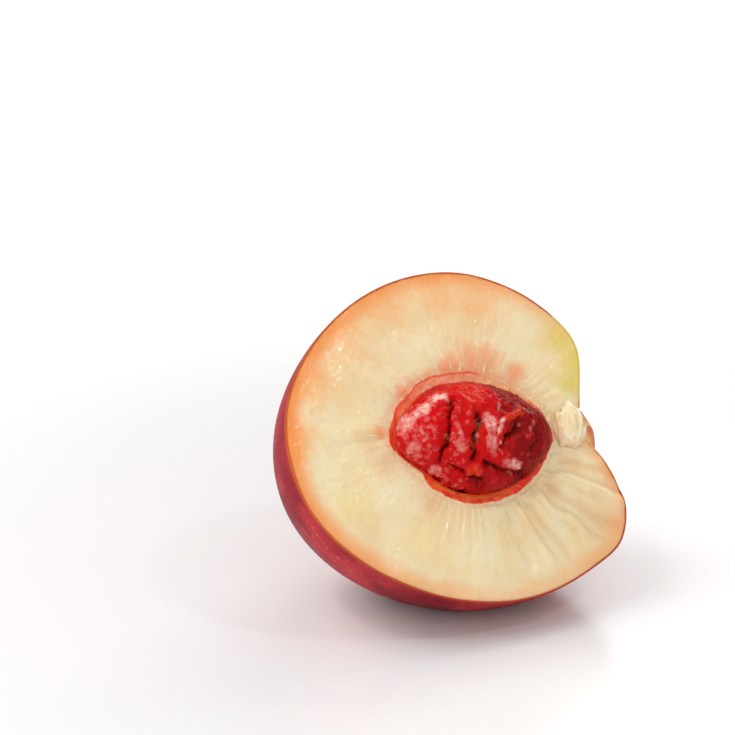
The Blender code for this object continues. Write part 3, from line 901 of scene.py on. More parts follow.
def flesh_mesh(settings):
    """The flesh: pit, rounded lip, cut face, and the side that lies under the skin."""
    columns = settings.columns
    depth = settings.skin_thickness + settings.skin_gap
    around = math.tau * np.arange(columns) / columns
    edge = almond_edge(around, PIT_HALF_SIZES)
    heading = edge[:, :2] / np.linalg.norm(edge[:, :2], axis=1, keepdims=True)
    circle = np.stack([np.cos(around), np.sin(around), np.zeros(columns)], axis=-1)
    jag = layered_noise(circle, LIP_TEARS)

    hug = STONE_HALF_SIZES + CLING
    hug_edge = almond_edge(around, hug)
    shares = np.arange(1, settings.pit_rings + 1) / settings.pit_rings
    bowl = []
    for tilt in math.acos(CLING_TOP / hug[2]) * shares**PIT_RING_SPACING:
        ring = STONE_CENTRE + hug_edge * math.sin(tilt)
        ring[:, 2] = STONE_CENTRE[2] - hug[2] * math.cos(tilt)
        bowl.append(ring)

    reach = LIP_REACH - LIP_NARROWING * bell(wrapped(around - LIP_NARROW_ANGLE), LIP_NARROW_SPREAD)
    lip_out = PIT_CENTRE[:2] + edge[:, :2] + heading * (reach + jag)[:, None]
    lip_end = flat_points(*lip_out.T, face_height(*lip_out.T))
    corner = PIT_CENTRE[:2] + edge[:, :2] * LIP_CORNER + heading * jag[:, None]
    corner = flat_points(*corner.T, -LIP_CORNER_DEPTH)
    share = np.linspace(0.0, 1.0, settings.lip_rings + 1)[1:, None, None]
    lip = (1.0 - share) ** 2 * bowl[-1] + 2.0 * share * (1.0 - share) * corner + share**2 * lip_end
    shreds = noise_at(lip * np.array((1.0, 1.0, 0.6)), 1.3 * MM) + 0.6 * noise_at(lip, 0.55 * MM, 3.0)
    lip[..., 2] += LIP_SHREDS * shreds * np.sin(math.pi * share[..., 0])

    rim = cheek_rows((0.0, 0.02), columns, depth)[0]
    out = np.linspace(0.0, 1.0, settings.face_rings + 1)[1:, None, None]
    face = lip_end + (rim - lip_end) * out
    face[..., 2] = surface_at(face[..., 0], face[..., 1])
    face[..., 2] -= RIM_DIP * np.exp(-np.linalg.norm(face - rim, axis=-1) / RIM_DIP_WIDTH)

    shares = np.arange(settings.side_rings) / settings.side_rings
    side = cheek_rows((math.pi / 2.0) * shares**SIDE_RING_SPACING, columns, depth)[1:]
    rows = np.concatenate([bowl, lip, face, side])
    pit_tip = STONE_CENTRE - np.array((0.0, 0.0, hug[2]))
    mesh = ringed_mesh("nectarine_flesh", pit_tip, rows, back_tip(depth))
    store_flesh_marks(mesh, rows, rim, len(bowl) + len(lip), len(side))
    return mesh


def fine_relief(x, y):
    """Fine folds, radial fibres and the soft unevenness that a knife leaves in wet flesh."""
    out = from_pit(x, y)
    angle = np.arctan2(y - PIT_CENTRE[1], x - PIT_CENTRE[0])
    fan = np.stack([np.cos(angle) * THREADS_ROUND, np.sin(angle) * THREADS_ROUND, out / (14.0 * MM)], axis=-1)
    threads = np.maximum(0.0, 1.0 - THREAD_SHARPNESS * np.abs(noise_at(fan, 1.0)))
    below = smooth_step(0.2, -0.7, np.sin(angle)) * smooth_step(14.0 * MM, 6.0 * MM, np.abs(x - 1.0 * MM))
    near_height, near_reach = THREAD_NEAR_PIT
    below_height, below_reach = THREAD_BELOW_PIT
    height = THREAD_HEIGHT + near_height * np.exp(-out / near_reach)
    height = height + below_height * below * np.exp(-out / below_reach)
    fold = FINE_FOLD_HEIGHT * fold_pattern(x, y, FINE_FOLDS_PER_RADIAN, FINE_FOLD_WANDER)
    return fold + threads * height + layered_noise(flat_points(x, y), FACE_GRAIN)


def surface_at(x, y):
    """Height of the cut face with its fine relief."""
    return face_height(x, y) + fine_relief(x, y)


def rim_glow_at(x, y):
    """0 to 1: how warm the flesh turns at the skin round the cut face, partly its own colour and partly
    painted glow of light shining through.
    """
    outline = np.arctan2(y, x)
    glow = RIM_GLOW
    for angle, share, spread in RIM_GLOWS:
        glow = glow + share * bell(wrapped(outline - math.radians(angle)), spread)
    return glow


def store_flesh_marks(mesh, rows, rim, pit_count, side_count):
    """What the flesh's colours follow: distances to the skin and the pit, folds and tinted patches."""
    x, y = rows[..., 0], rows[..., 1]
    rim_in = np.linalg.norm(rows[..., :2] - rim[:, :2], axis=-1) / MM
    rim_in[len(rows) - side_count :] = 0.0
    lip_edge = rows[pit_count - 1]
    pit_out = LIP_BAND + np.linalg.norm(rows[..., :2] - lip_edge[:, :2], axis=-1) / MM
    pit_out[:pit_count] = LIP_BAND - np.linalg.norm(rows[:pit_count] - lip_edge, axis=-1) / MM
    across, along = y - PIT_CENTRE[1], x - PIT_CENTRE[0]
    angle = np.arctan2(across, along)
    fan = np.stack([np.cos(angle), np.sin(angle), np.hypot(along, across) / (10.0 * MM)], axis=-1)
    folds = fold_pattern(x, y, FINE_FOLDS_PER_RADIAN, FINE_FOLD_WANDER)
    folds = folds + 0.5 * fold_pattern(x, y, FOLDS_PER_RADIAN, FOLD_WANDER)
    store(mesh, "rim_distance", rim_in, (40.0, 0.0))
    store(mesh, "pit_distance", pit_out, (-12.0, 20.0))
    store(mesh, "fan", fan, ((1.0, 0.0, 0.0), (1.0, 0.0, 0.0)))
    store(mesh, "rim_glow", rim_glow_at(x, y), (0.0, 0.5))
    store(mesh, "fold", folds)
    for name, patches in PATCHES.items():
        store(mesh, name, patches_at(x, y, patches))


def path_distance(local, path):
    """How far points are from a line of straight stretches, in millimetres."""
    x, y = local[..., 0] / MM, local[..., 1] / MM
    nearest = np.full(x.shape, np.inf)
    for start, end in zip(path, path[1:]):
        step_x, step_y = end[0] - start[0], end[1] - start[1]
        share = ((x - start[0]) * step_x + (y - start[1]) * step_y) / (step_x**2 + step_y**2)
        share = np.clip(share, 0.0, 1.0)
        nearest = np.minimum(nearest, np.hypot(x - start[0] - share * step_x, y - start[1] - share * step_y))
    return nearest


def ragged_at(local):
    """Points of the stone moved a little aside, so that what is measured from them gets torn edges."""
    other_tears = [(height, size, shift + 20.0) for height, size, shift in STONE_TEARS]
    return local + flat_points(layered_noise(local, STONE_TEARS), layered_noise(local, other_tears))


def furrow_depth(ragged):
    """Depth of the stone's furrows, with steeper sides than in the source."""
    depths = []
    for half_width, most, path in FURROWS:
        distance = path_distance(ragged, path) / half_width
        depths.append(most * MM * sum(share * bell(distance, spread) for share, spread in FURROW_PROFILE))
    return np.sqrt(sum(depth * depth for depth in depths))


def films_at(local):
    """0 to 1: how thick the pulp is that clings to the stone's upper side, with a few films that are painted
    highlight or sheen.
    """
    total = np.zeros(local.shape[:-1])
    ragged = layered_noise(local, FILM_TEARS)
    for along, across, half_along, half_across, turn, thickness in FILMS:
        offset = turned_about_z(local - np.array((along, across, 0.0)) * MM, -math.radians(turn))
        reach = np.hypot(offset[..., 0] / (half_along * MM), offset[..., 1] / (half_across * MM))
        total = np.maximum(total, thickness * (1.0 - smooth_step(0.35, 1.30, reach + ragged)))
    return total * smooth_step(-1.0 * MM, 0.5 * MM, local[..., 2])


def stone_mesh(settings):
    """The stone: the part's own furrows and knobs, finer cracks, grains, and films of pulp."""
    rings, segments = settings.stone_rings, settings.stone_segments
    polar = math.pi * np.arange(1, rings) / rings
    turn = math.tau * np.arange(segments) / segments
    polar, turn = np.meshgrid(polar, turn, indexing="ij")
    girth = np.sin(polar) * (1.0 - STONE_POINT * np.cos(polar) ** 2)
    local = np.stack([np.cos(polar), girth * np.cos(turn), girth * np.sin(turn)], axis=-1) * STONE_HALF_SIZES
    local[..., :2] *= flatter(local)[..., None]
    lying = turned_about_z(local, STONE_TURN)
    along, across = local[..., 0] / MM, local[..., 1] / MM
    ragged = ragged_at(local)
    furrow = furrow_depth(ragged)
    ridges = [bell(path_distance(ragged, path), half_width) for half_width, _, path in RIDGES]
    ridge = sum(height * MM * share for (_, height, _), share in zip(RIDGES, ridges))
    knob = KNOB_DEPTH * (0.5 - 0.5 * noise_at(lying, KNOB_SCALE))
    keel = KEEL_HEIGHT * bell(wrapped(turn), KEEL_HALF_ANGLE)
    film = films_at(local)
    crack = bell(noise_at(local * np.array((1.0, 0.75, 1.0)), 2.3 * MM, 2.0), CRACK_HALF_WIDTH)
    crack = crack * smooth_step(-0.25, 0.25, noise_at(local, 4.0 * MM, 11.0))
    swayed = local + SWAY * noise_at(local, SWAY_SIZE, 4.0)[..., None]
    lobe = domes_at(swayed * np.array((1.0, 0.8, 1.0)), LOBE_SIZE, LOBE_ROUNDNESS)
    grain = domes_at(swayed, GRAIN_SIZE, GRAIN_ROUNDNESS)
    rough = noise_at(local, ROUGH_SIZE, 6.0)
    granular = 0.45 + 0.55 * smooth_step(-1.5, -5.0, along) * smooth_step(7.5, 5.0, across)
    bumps = LOBE_HEIGHT * lobe * granular + GRAIN_HEIGHT * grain
    bumps = bumps + SWELL_HEIGHT * noise_at(local, SWELL_SIZE, 15.0)
    inward = furrow + knob - keel - ridge + (1.0 - 0.4 * film) * (CRACK_DEPTH * crack - bumps)
    inward = inward + (1.0 - 0.8 * film) * ROUGH_HEIGHT * rough
    inward = inward * np.sin(polar) ** END_SMOOTHNESS
    direction = lying / np.linalg.norm(lying, axis=-1, keepdims=True)
    rows = STONE_CENTRE + lying - direction * inward[..., None]
    tip = turned_about_z(np.array((STONE_HALF_SIZES[0], 0.0, 0.0)), STONE_TURN)
    mesh = ringed_mesh("nectarine_stone", STONE_CENTRE + tip, rows, STONE_CENTRE - tip)
    dusk = smooth_step(1.6, 5.0, along + 2.0 * noise_at(local, 3.0 * MM, 1.0))
    dusk = np.maximum(dusk, 0.6 * smooth_step(-6.5, -8.5, across) * smooth_step(-7.0, -3.0, along))
    # Painted shade that the material lays on, deepest in the furrows, then in the cracks and between the
    # lobes.
    dark = np.clip(furrow / (2.0 * MM) + 0.30 * crack + 0.20 * (1.0 - lobe) * granular - 0.15, 0.0, 1.0)
    # crest marks the raised lobes and grains, where the material paints highlights.
    crest = np.clip(0.75 * lobe * granular + 0.25 * grain - 0.6 * furrow / MM + 0.15 * rough, 0.0, 1.0)
    store(mesh, "crest", crest, (0.3, 0.3))
    store(mesh, "granular", granular, (0.3, 0.3))
    store(mesh, "furrow", dark, (0.2, 0.2))
    store(mesh, "film", film)
    store(mesh, "dusk", dusk, (1.0, 0.0))
    store(mesh, "warm", np.maximum.reduce(ridges[:WARM_RIDGES]))
    return mesh


def add_lobe(shape, centre, half_sizes, turn_deg, roll_deg=0.0):
    """A ball stretched across the core, in millimetres."""
    place = Matrix.Translation(centre) @ Matrix.Rotation(math.radians(turn_deg), 4, "Z")
    place = place @ Matrix.Rotation(math.radians(roll_deg), 4, "X") @ Matrix.Diagonal((*half_sizes, 1.0))
    bmesh.ops.create_uvsphere(shape, u_segments=20, v_segments=14, radius=1.0, matrix=place)


def evaluated_mesh(name, carrier):
    """The plain mesh that an object's modifiers give; the object itself goes."""
    source = carrier.data
    mesh = bpy.data.meshes.new_from_object(carrier.evaluated_get(bpy.context.evaluated_depsgraph_get()))
    carrier.modifiers.clear()
    bpy.data.objects.remove(carrier)
    bpy.data.meshes.remove(source)
    mesh.name = name
    return mesh


def strand_mesh(settings):
    """Torn strands fused in one soft lump, ridged along their length."""
    rng = np.random.default_rng(settings.strand_seed)
    shape = bmesh.new()
    for centre, half_sizes, turn_deg in SHREDS:
        add_lobe(shape, centre, half_sizes, turn_deg)
    for number, (centre, half_sizes, turn_deg) in enumerate(STRANDS):
        body = np.array(half_sizes) * (STRAND_LONG_BODY if number < LONG_STRANDS else STRAND_SHORT_BODY)
        add_lobe(shape, centre, body, turn_deg)
        for _ in range(settings.strand_threads):
            off = np.array((rng.uniform(-0.8, 0.8), rng.uniform(-0.20, 0.25), rng.uniform(0.2, 0.75)))
            slim = (rng.uniform(0.25, 0.55), body[1] * rng.uniform(0.45, 0.85), rng.uniform(0.3, 0.6))
            spot = np.array(centre) + off * body
            add_lobe(shape, spot, slim, turn_deg + rng.uniform(-7, 7), rng.uniform(-8, 8))
    rough = bpy.data.meshes.new("strand_cage")
    shape.to_mesh(rough)
    shape.free()
    cage = bpy.data.objects.new("strand_cage", rough)
    bpy.context.scene.collection.objects.link(cage)
    fuse = cage.modifiers.new("fuse", "REMESH")
    fuse.mode = "VOXEL"
    fuse.voxel_size = STRAND_GRID
    soften = cage.modifiers.new("soften", "SMOOTH")
    soften.iterations = STRAND_SOFTENING
    mesh = evaluated_mesh("torn_strands", cage)
    points = np.array([vertex.co for vertex in mesh.vertices])
    normals = np.array([vertex.normal for vertex in mesh.vertices])
    ridged = noise_at(turned_about_z(points, math.radians(17.0)) * np.array((1.0, 0.22, 1.0)), 0.8)
    knotted = noise_at(points, 1.1, 5.0)
    points = (points + normals * (STRAND_RIDGES * ridged + STRAND_KNOTS * knotted)[:, None]) * MM
    mesh.vertices.foreach_set("co", placed(points).ravel())
    layer = mesh.attributes.new("root_tint", "FLOAT", "POINT")
    tint = 0.8 * (1.0 - smooth_step(-1.6 * MM, 0.9 * MM, points[:, 2]))
    tint = np.maximum(tint, 0.55 * smooth_step(22.6 * MM, 20.8 * MM, points[:, 0]))
    layer.data.foreach_set("value", tint.astype(np.float32))
    mesh.shade_smooth()
    mesh.update()
    return mesh


class Growth(NodeWriter):
    """A Geometry Nodes tree that puts one shape on every point, along the point's heading."""

    def __init__(self, name, **inputs):
        super().__init__(bpy.data.node_groups.new(name, "GeometryNodeTree"))
        sockets = self.tree.interface
        sockets.new_socket("Geometry", in_out="OUTPUT", socket_type="NodeSocketGeometry")
        self.keys = {}
        inputs = {"Points": ("Geometry", None), **inputs, "Finish": ("Material", None)}
        for title, (kind, default) in inputs.items():
            socket = sockets.new_socket(title, in_out="INPUT", socket_type="NodeSocket" + kind)
            if default is not None:
                socket.default_value = default
            self.keys[title] = socket.identifier
        self.given = self.node("NodeGroupInput").outputs
        heading = self.carried("heading", "FLOAT_VECTOR")
        self.length = self.node("ShaderNodeVectorMath", {0: heading}, operation="LENGTH").outputs["Value"]
        align = self.node("FunctionNodeAlignRotationToVector", {"Vector": heading}, axis="Z")
        self.upright = align.outputs["Rotation"]

    def carried(self, name, kind):
        """What every point carries under this name."""
        found = self.node("GeometryNodeInputNamedAttribute", {"Name": name}, data_type=kind)
        return found.outputs["Attribute"]

    def plant(self, shape, turn, width, height):
        """Puts the shape on every point, makes the copies real and gives them their finish."""
        size = self.node("ShaderNodeCombineXYZ", {"X": width, "Y": width, "Z": height}).outputs[0]
        copies = {"Points": self.given["Points"], "Instance": shape, "Rotation": turn, "Scale": size}
        spread = self.node("GeometryNodeInstanceOnPoints", copies).outputs["Instances"]
        real = self.node("GeometryNodeRealizeInstances", {"Geometry": spread}).outputs["Geometry"]
        paint = self.node("GeometryNodeSetMaterial", {"Geometry": real, "Material": self.given["Finish"]})
        self.node("NodeGroupOutput", {0: paint.outputs["Geometry"]})


def thread_growth():
    """A tapered, bent thread on every point, turned about its heading at random."""
    growth = Growth(
        "threads_on_points", Bend=("Float", 0.15), Steps=("Int", 7), Sides=("Int", 5), Seed=("Int", 1))
    given, node = growth.given, growth.node
    bent = {
        "Resolution": given["Steps"],
        "Start": (0.0, 0.0, 0.0),
        "Middle": node("ShaderNodeCombineXYZ", {"X": given["Bend"], "Z": 0.5}).outputs[0],
        "End": (0.0, 0.0, 1.0),
    }
    along = node("GeometryNodeSplineParameter").outputs["Factor"]
    taper = node("ShaderNodeMapRange", {"Value": along, "To Min": 0.05, "To Max": 0.01})
    ring = node("GeometryNodeCurvePrimitiveCircle", {"Resolution": given["Sides"], "Radius": 1.0})
    tube = {
        "Curve": node("GeometryNodeCurveQuadraticBezier", bent).outputs["Curve"],
        "Profile Curve": ring.outputs["Curve"],
        "Scale": taper.outputs["Result"],
        "Fill Caps": True,
    }
    spin = node("FunctionNodeRandomValue", {3: math.tau, "Seed": given["Seed"]}, data_type="FLOAT").outputs[1]
    about = node("ShaderNodeCombineXYZ", {"Z": spin}).outputs[0]
    turns = {"Rotation": growth.upright, "Rotate By": about}
    turn = node("FunctionNodeRotateRotation", turns, rotation_space="LOCAL").outputs["Rotation"]
    width = growth.times(growth.carried("slimness", "FLOAT"), growth.length)
    growth.plant(node("GeometryNodeCurveToMesh", tube).outputs["Mesh"], turn, width, growth.length)
    return growth


def bead_growth():
    """A flattened drop on every point, lying on the surface that it wets."""
    growth = Growth("beads_on_points", Flatness=("Float", 0.45))
    drop = growth.node("GeometryNodeMeshIcoSphere", {"Radius": 1.0, "Subdivisions": 3}).outputs["Mesh"]
    smooth = growth.node("GeometryNodeSetShadeSmooth", {"Geometry": drop}).outputs["Geometry"]
    height = growth.times(growth.length, growth.given["Flatness"])
    growth.plant(smooth, growth.upright, growth.length, height)
    return growth


def grown_mesh(name, growth, points, headings, slimness, **inputs):
    """Runs a growth on points, each with a heading whose length is its size, and keeps the plain mesh."""
    seeds = bpy.data.meshes.new(name)
    seeds.from_pydata(placed(points).tolist(), [], [])
    layer = seeds.attributes.new("heading", "FLOAT_VECTOR", "POINT")
    layer.data.foreach_set("vector", (headings @ POSE_TURN.T).astype(np.float32).ravel())
    layer = seeds.attributes.new("slimness", "FLOAT", "POINT")
    layer.data.foreach_set("value", slimness.astype(np.float32))
    carrier = bpy.data.objects.new(name, seeds)
    bpy.context.scene.collection.objects.link(carrier)
    grow = carrier.modifiers.new("grow", "NODES")
    grow.node_group = growth.tree
    for title, value in inputs.items():
        grow[growth.keys[title]] = value
    return evaluated_mesh(name, carrier)


def along_lip(angle):
    """The point on the lip at an angle round the pit, the way out from it, and the way along it."""
    edge = almond_edge(angle, PIT_HALF_SIZES)
    after = almond_edge(angle + 0.01, PIT_HALF_SIZES)
    out = edge / np.linalg.norm(edge, axis=-1, keepdims=True)
    side = after - edge
    side /= np.linalg.norm(side, axis=-1, keepdims=True)
    return PIT_CENTRE + edge, out, side


def inside_rim(points, margin):
    """Which points of the cut face lie at least a margin in from the skin."""
    outline = fruit_points(*cheek_ring(0.0, 720))
    angle = np.arctan2(outline[:, 1], outline[:, 0])
    reach = np.hypot(outline[:, 0], outline[:, 1])
    limit = np.interp(np.arctan2(points[:, 1], points[:, 0]), angle, reach, period=math.tau)
    return np.hypot(points[:, 0], points[:, 1]) < limit - margin


def red_fibres(settings, colours):
    """Short red fibres that cross the gap between the pit's wall and the stone."""
    rng = np.random.default_rng(settings.fibre_seed)
    count = settings.red_fibres
    lip, out, side = along_lip(rng.uniform(0.0, math.tau, count))
    inward = rng.uniform(*RED_FIBRE_INWARD, count)
    root = lip - out * inward[:, None] * MM
    root[:, 2] = (-0.95 - 0.55 * inward) * MM
    lean = rng.choice((-1.0, 1.0), count)[:, None]
    length = rng.uniform(*RED_FIBRE_LENGTH, count)[:, None] * MM
    heading = -0.45 * out + side * lean
    heading[:, 2] += rng.uniform(-0.15, 0.15, count)
    heading *= length / np.linalg.norm(heading, axis=1, keepdims=True)
    slim = rng.uniform(*RED_FIBRE_GIRTH, count)
    finish = plain_wet_material("red_fibre", colours.pit_red, 0.25)
    inputs = {"Seed": settings.fibre_seed, "Finish": finish, "Bend": 0.25}
    return grown_mesh("red_fibres", thread_growth(), root, heading, slim, **inputs), finish


def pale_fibres(settings, colours):
    """Pale fibres that lie on the cut face, fanning out from the pit, most of them below and beside it."""
    seed = settings.fibre_seed + 1
    rng = np.random.default_rng(seed)
    count = settings.pale_fibres
    third = count // 3
    below = rng.normal(math.radians(-85.0), 0.32, third)
    folds = rng.uniform(FOLD_SECTOR[0], math.radians(5.0), third)
    rest = rng.uniform(0.0, math.tau, count - 2 * third)
    angle = np.concatenate([below, folds, rest])
    lip, out, side = along_lip(angle)
    start = PALE_FIBRE_START + PALE_FIBRE_SCATTER * rng.uniform(0.0, 1.0, count) ** 1.6
    start[third : 2 * third] *= 2.2
    start[np.abs(wrapped(angle)) < 0.6] *= 0.4
    root = lip + out * start[:, None] * MM
    length = rng.uniform(*PALE_FIBRE_LENGTH, count)[:, None] * MM
    sideways = rng.normal(0.0, PALE_FIBRE_SIDEWAYS, count)[:, None] * MM
    tip = root + out * length + side * sideways
    for ends in (root, tip):
        ends[:, 2] = surface_at(ends[:, 0], ends[:, 1]) - FIBRE_SINK
    slim = rng.uniform(*PALE_FIBRE_GIRTH, count)
    kept = inside_rim(root, FIBRE_MARGIN) & inside_rim(tip, FIBRE_MARGIN)
    finish = plain_wet_material("pale_fibre", colours.strand_cream, 0.22)
    inputs = {"Seed": seed, "Finish": finish, "Bend": 0.10}
    growth = thread_growth()
    return grown_mesh("pale_fibres", growth, root[kept], (tip - root)[kept], slim[kept], **inputs), finish


def juice_beads(settings, colours):
    """Small drops of juice on the cut face and on the lip of the pit."""
    rng = np.random.default_rng(settings.bead_seed)
    count = settings.beads
    lip, out, _ = along_lip(rng.uniform(0.0, math.tau, count))
    outward = DROP_START + DROP_SCATTER * rng.uniform(0.0, 1.0, count) ** 2.2
    root = lip + out * outward[:, None] * MM
    root[:, 2] = surface_at(root[:, 0], root[:, 1])
    heading = np.zeros((count, 3))
    heading[:, 2] = rng.lognormal(math.log(DROP_SIZE), DROP_SIZE_SPREAD, count).clip(*DROP_SIZE_LIMITS) * MM
    kept = inside_rim(root, FIBRE_MARGIN)
    finish = plain_wet_material("juice", colours.juice, 0.12)
    inputs = {"Finish": finish, "Flatness": 0.4}
    growth = bead_growth()
    return grown_mesh("juice_beads", growth, root[kept], heading[kept], np.ones(kept.sum()), **inputs), finish


def length_property(name, description, default, low, high):
    return FloatProperty(
        name=name, description=description, default=default, min=low, max=high, precision=5, unit="LENGTH")


def count_property(name, description, default, low, high):
    return IntProperty(name=name, description=description, default=default, min=low, max=high)


def power_property(name, description, default):
    return FloatProperty(name=name, description=description, default=default, min=0.0, max=50.0, unit="POWER")


class NectarineSizes(bpy.types.PropertyGroup):
    skin_thickness: length_property(
        "Skin thickness", "From the outside of the skin to the flesh", 0.30 * MM, 0.1 * MM, 1.0 * MM)
    skin_gap: length_property(
        "Skin gap", "Clearance that keeps skin and flesh apart", 0.03 * MM, 0.0, 0.2 * MM)
    columns: count_property("Columns", "Points round the cut face", 480, 96, 720)
    skin_rings: count_property("Skin rings", "Rings from the cut to the back of the cheek", 96, 48, 200)
    face_rings: count_property("Face rings", "Rings over the cut face", 76, 24, 160)
    pit_rings: count_property("Pit rings", "Rings down the pit", 20, 8, 64)
    lip_rings: count_property("Lip rings", "Rings round the pit's lip", 16, 3, 24)
    side_rings: count_property("Side rings", "Rings of the flesh under the skin", 24, 8, 64)
    stone_rings: count_property("Stone rings", "Rings along the stone", 250, 60, 280)
    stone_segments: count_property("Stone segments", "Points round the stone", 340, 80, 360)
    strand_threads: count_property("Threads on a strand", "Thin ridges on each torn strand", 9, 0, 24)
    strand_seed: count_property("Strand seed", "Draws the torn strands", 5, 0, LARGEST_SEED)
    red_fibres: count_property("Red fibres", "Fibres between the pit and the stone", 36, 0, 600)
    pale_fibres: count_property("Pale fibres", "Fibres that lie on the cut face", 230, 0, 900)
    fibre_seed: count_property("Fibre seed", "Draws the fibres", 11, 0, LARGEST_SEED)
    beads: count_property("Juice beads", "Drops of juice on the cut face", 44, 0, 400)
    bead_seed: count_property("Bead seed", "Draws the drops", 3, 0, LARGEST_SEED)


def colour_property(name, description, default):
    return FloatVectorProperty(
        name=name, description=description, default=default, subtype="COLOR", size=3, min=0.0, max=1.0)


class NectarineColours(bpy.types.PropertyGroup):
    skin_deep: colour_property("Deep skin", "Darkest red of the skin", (0.28, 0.010, 0.022))
    skin_red: colour_property("Red skin", "Main red of the skin", (0.56, 0.030, 0.046))
    skin_rose: colour_property("Rose skin", "Pink streaks in the red", (0.66, 0.10, 0.10))
    skin_orange: colour_property("Orange skin", "Between the red and the yellow", (0.80, 0.22, 0.06))
    skin_yellow: colour_property("Yellow skin", "Ground colour of the skin", (0.88, 0.66, 0.24))
    skin_speck: colour_property("Specks", "Fine pale specks in the skin", (0.85, 0.45, 0.28))
    skin_edge: colour_property("Skin edge", "The cut edge of the skin", (0.46, 0.060, 0.020))
    scar: colour_property("Scar", "Dry scar at the stem and the blossom end", (0.16, 0.085, 0.035))
    flesh_cream: colour_property("Cream flesh", "Main colour of the cut face", (0.85, 0.66, 0.37))
    flesh_pale: colour_property("Pale flesh", "Lightest flesh", (0.88, 0.76, 0.51))
    flesh_yellow: colour_property("Yellow flesh", "Yellow clouds in the flesh", (0.88, 0.73, 0.36))
    flesh_green: colour_property("Green flesh", "Greenish flesh by the pale skin", (0.74, 0.62, 0.14))
    flesh_peach: colour_property("Peach flesh", "Warm areas near the skin", (0.90, 0.47, 0.19))
    flesh_tan: colour_property("Tan flesh", "Bruised and torn areas", (0.78, 0.45, 0.22))
    flesh_blush: colour_property("Blush", "Pink haze round the stone", (0.90, 0.30, 0.13))
    # Partly the flesh's own orange, partly painted glow of light shining through the rim.
    rim_orange: colour_property("Orange rim", "Flesh right under the skin", (0.92, 0.30, 0.06))
    rim_red: colour_property("Red rim", "Line where flesh meets skin", (0.72, 0.16, 0.04))
    lip_orange: colour_property("Orange lip", "Lip of the pit", (0.87, 0.105, 0.020))
    # Partly the lip's own pink, partly painted light on the lit upper wall of the pit.
    lit_lip_pink: colour_property("Pink lip", "Upper lip of the pit", (0.95, 0.36, 0.22))
    lip_gold: colour_property("Golden lip", "Stripe in the lower lip", (0.66, 0.23, 0.035))
    pit_red: colour_property("Pit red", "Wall of the pit", (0.84, 0.030, 0.014))
    # Painted shade deep in the pit, under the stone.
    pit_deep_shade: colour_property("Deep pit", "Bottom of the pit", (0.40, 0.008, 0.006))
    stone_red: colour_property("Stone red", "Brightest red of the stone", (0.57, 0.004, 0.006))
    # Painted highlight on the crests of the lobes.
    stone_crest_highlight: colour_property("Stone rose", "Pink of the lobes", (0.76, 0.14, 0.12))
    stone_orange: colour_property("Stone orange", "Warm parts of the stone", (0.66, 0.030, 0.008))
    stone_maroon: colour_property("Stone maroon", "Dark end of the stone", (0.25, 0.006, 0.007))
    # Painted shade in the furrows, in the cracks and between the lobes.
    stone_furrow_shade: colour_property("Furrows", "Bottom of the furrows", (0.085, 0.004, 0.004))
    stone_gold: colour_property("Golden tissue", "Torn tissue in the furrows", (0.66, 0.24, 0.09))
    film_pink: colour_property("Pink film", "Thin film of pulp", (0.74, 0.22, 0.20))
    film_white: colour_property("White film", "Thick film of pulp", (0.88, 0.68, 0.56))
    strand_cream: colour_property("Cream strands", "Torn strands", (0.88, 0.72, 0.44))
    strand_white: colour_property("White strands", "Palest torn strands", (0.95, 0.88, 0.70))
    juice: colour_property("Juice", "Drops of juice", (0.84, 0.68, 0.40))
    floor: colour_property("Floor", "Pale floor", (0.80, 0.79, 0.79))


class NectarineStage(bpy.types.PropertyGroup):
    lens: FloatProperty(
        name="Lens", description="Focal length", default=100.0, min=20.0, max=300.0, unit="CAMERA")
    elevation: FloatProperty(
        name="Elevation", description="How steeply the camera looks down",
        default=math.radians(17.0), min=0.0, max=math.pi / 2.0, subtype="ANGLE")
    distance: length_property("Distance", "From the camera to the middle of the cut face", 0.405, 0.1, 3.0)
    aim_right: length_property(
        "Aim right", "How far right of the view's middle the cut face is", 20.0 * MM, -0.1, 0.1)
    aim_down: length_property(
        "Aim down", "How far below the view's middle the cut face is", 14.36 * MM, -0.1, 0.1)
    sky: FloatProperty(
        name="Sky", description="Strength of the even white light", default=0.55, min=0.0, max=3.0)
    sky_mirrored: FloatProperty(
        name="Mirrored sky", description="Share of the even light that reflections show",
        default=0.22, min=0.0, max=1.0)
    spark: power_property("Sparkle lights", "Two small lights that give wet highlights", 0.55)
    key: power_property("Key light", "Main soft light", 3.7)
    back: power_property("Back light", "Soft light from behind", 2.0)
    fill: power_property("Fill light", "Weak light from the front", 1.7)
    side: power_property("Side light", "Low light on the skin's left", 0.8)


def soft_light(name, place, size, power, mirrored):
    lamp = bpy.data.lights.new(name, "AREA")
    lamp.shape = "SQUARE"
    lamp.size = size
    lamp.energy = power
    light = bpy.data.objects.new(name, lamp)
    light.location = place
    light.rotation_euler = (LIGHT_AIM - Vector(place)).to_track_quat("-Z", "Y").to_euler()
    light.visible_glossy = mirrored
    bpy.context.scene.collection.objects.link(light)


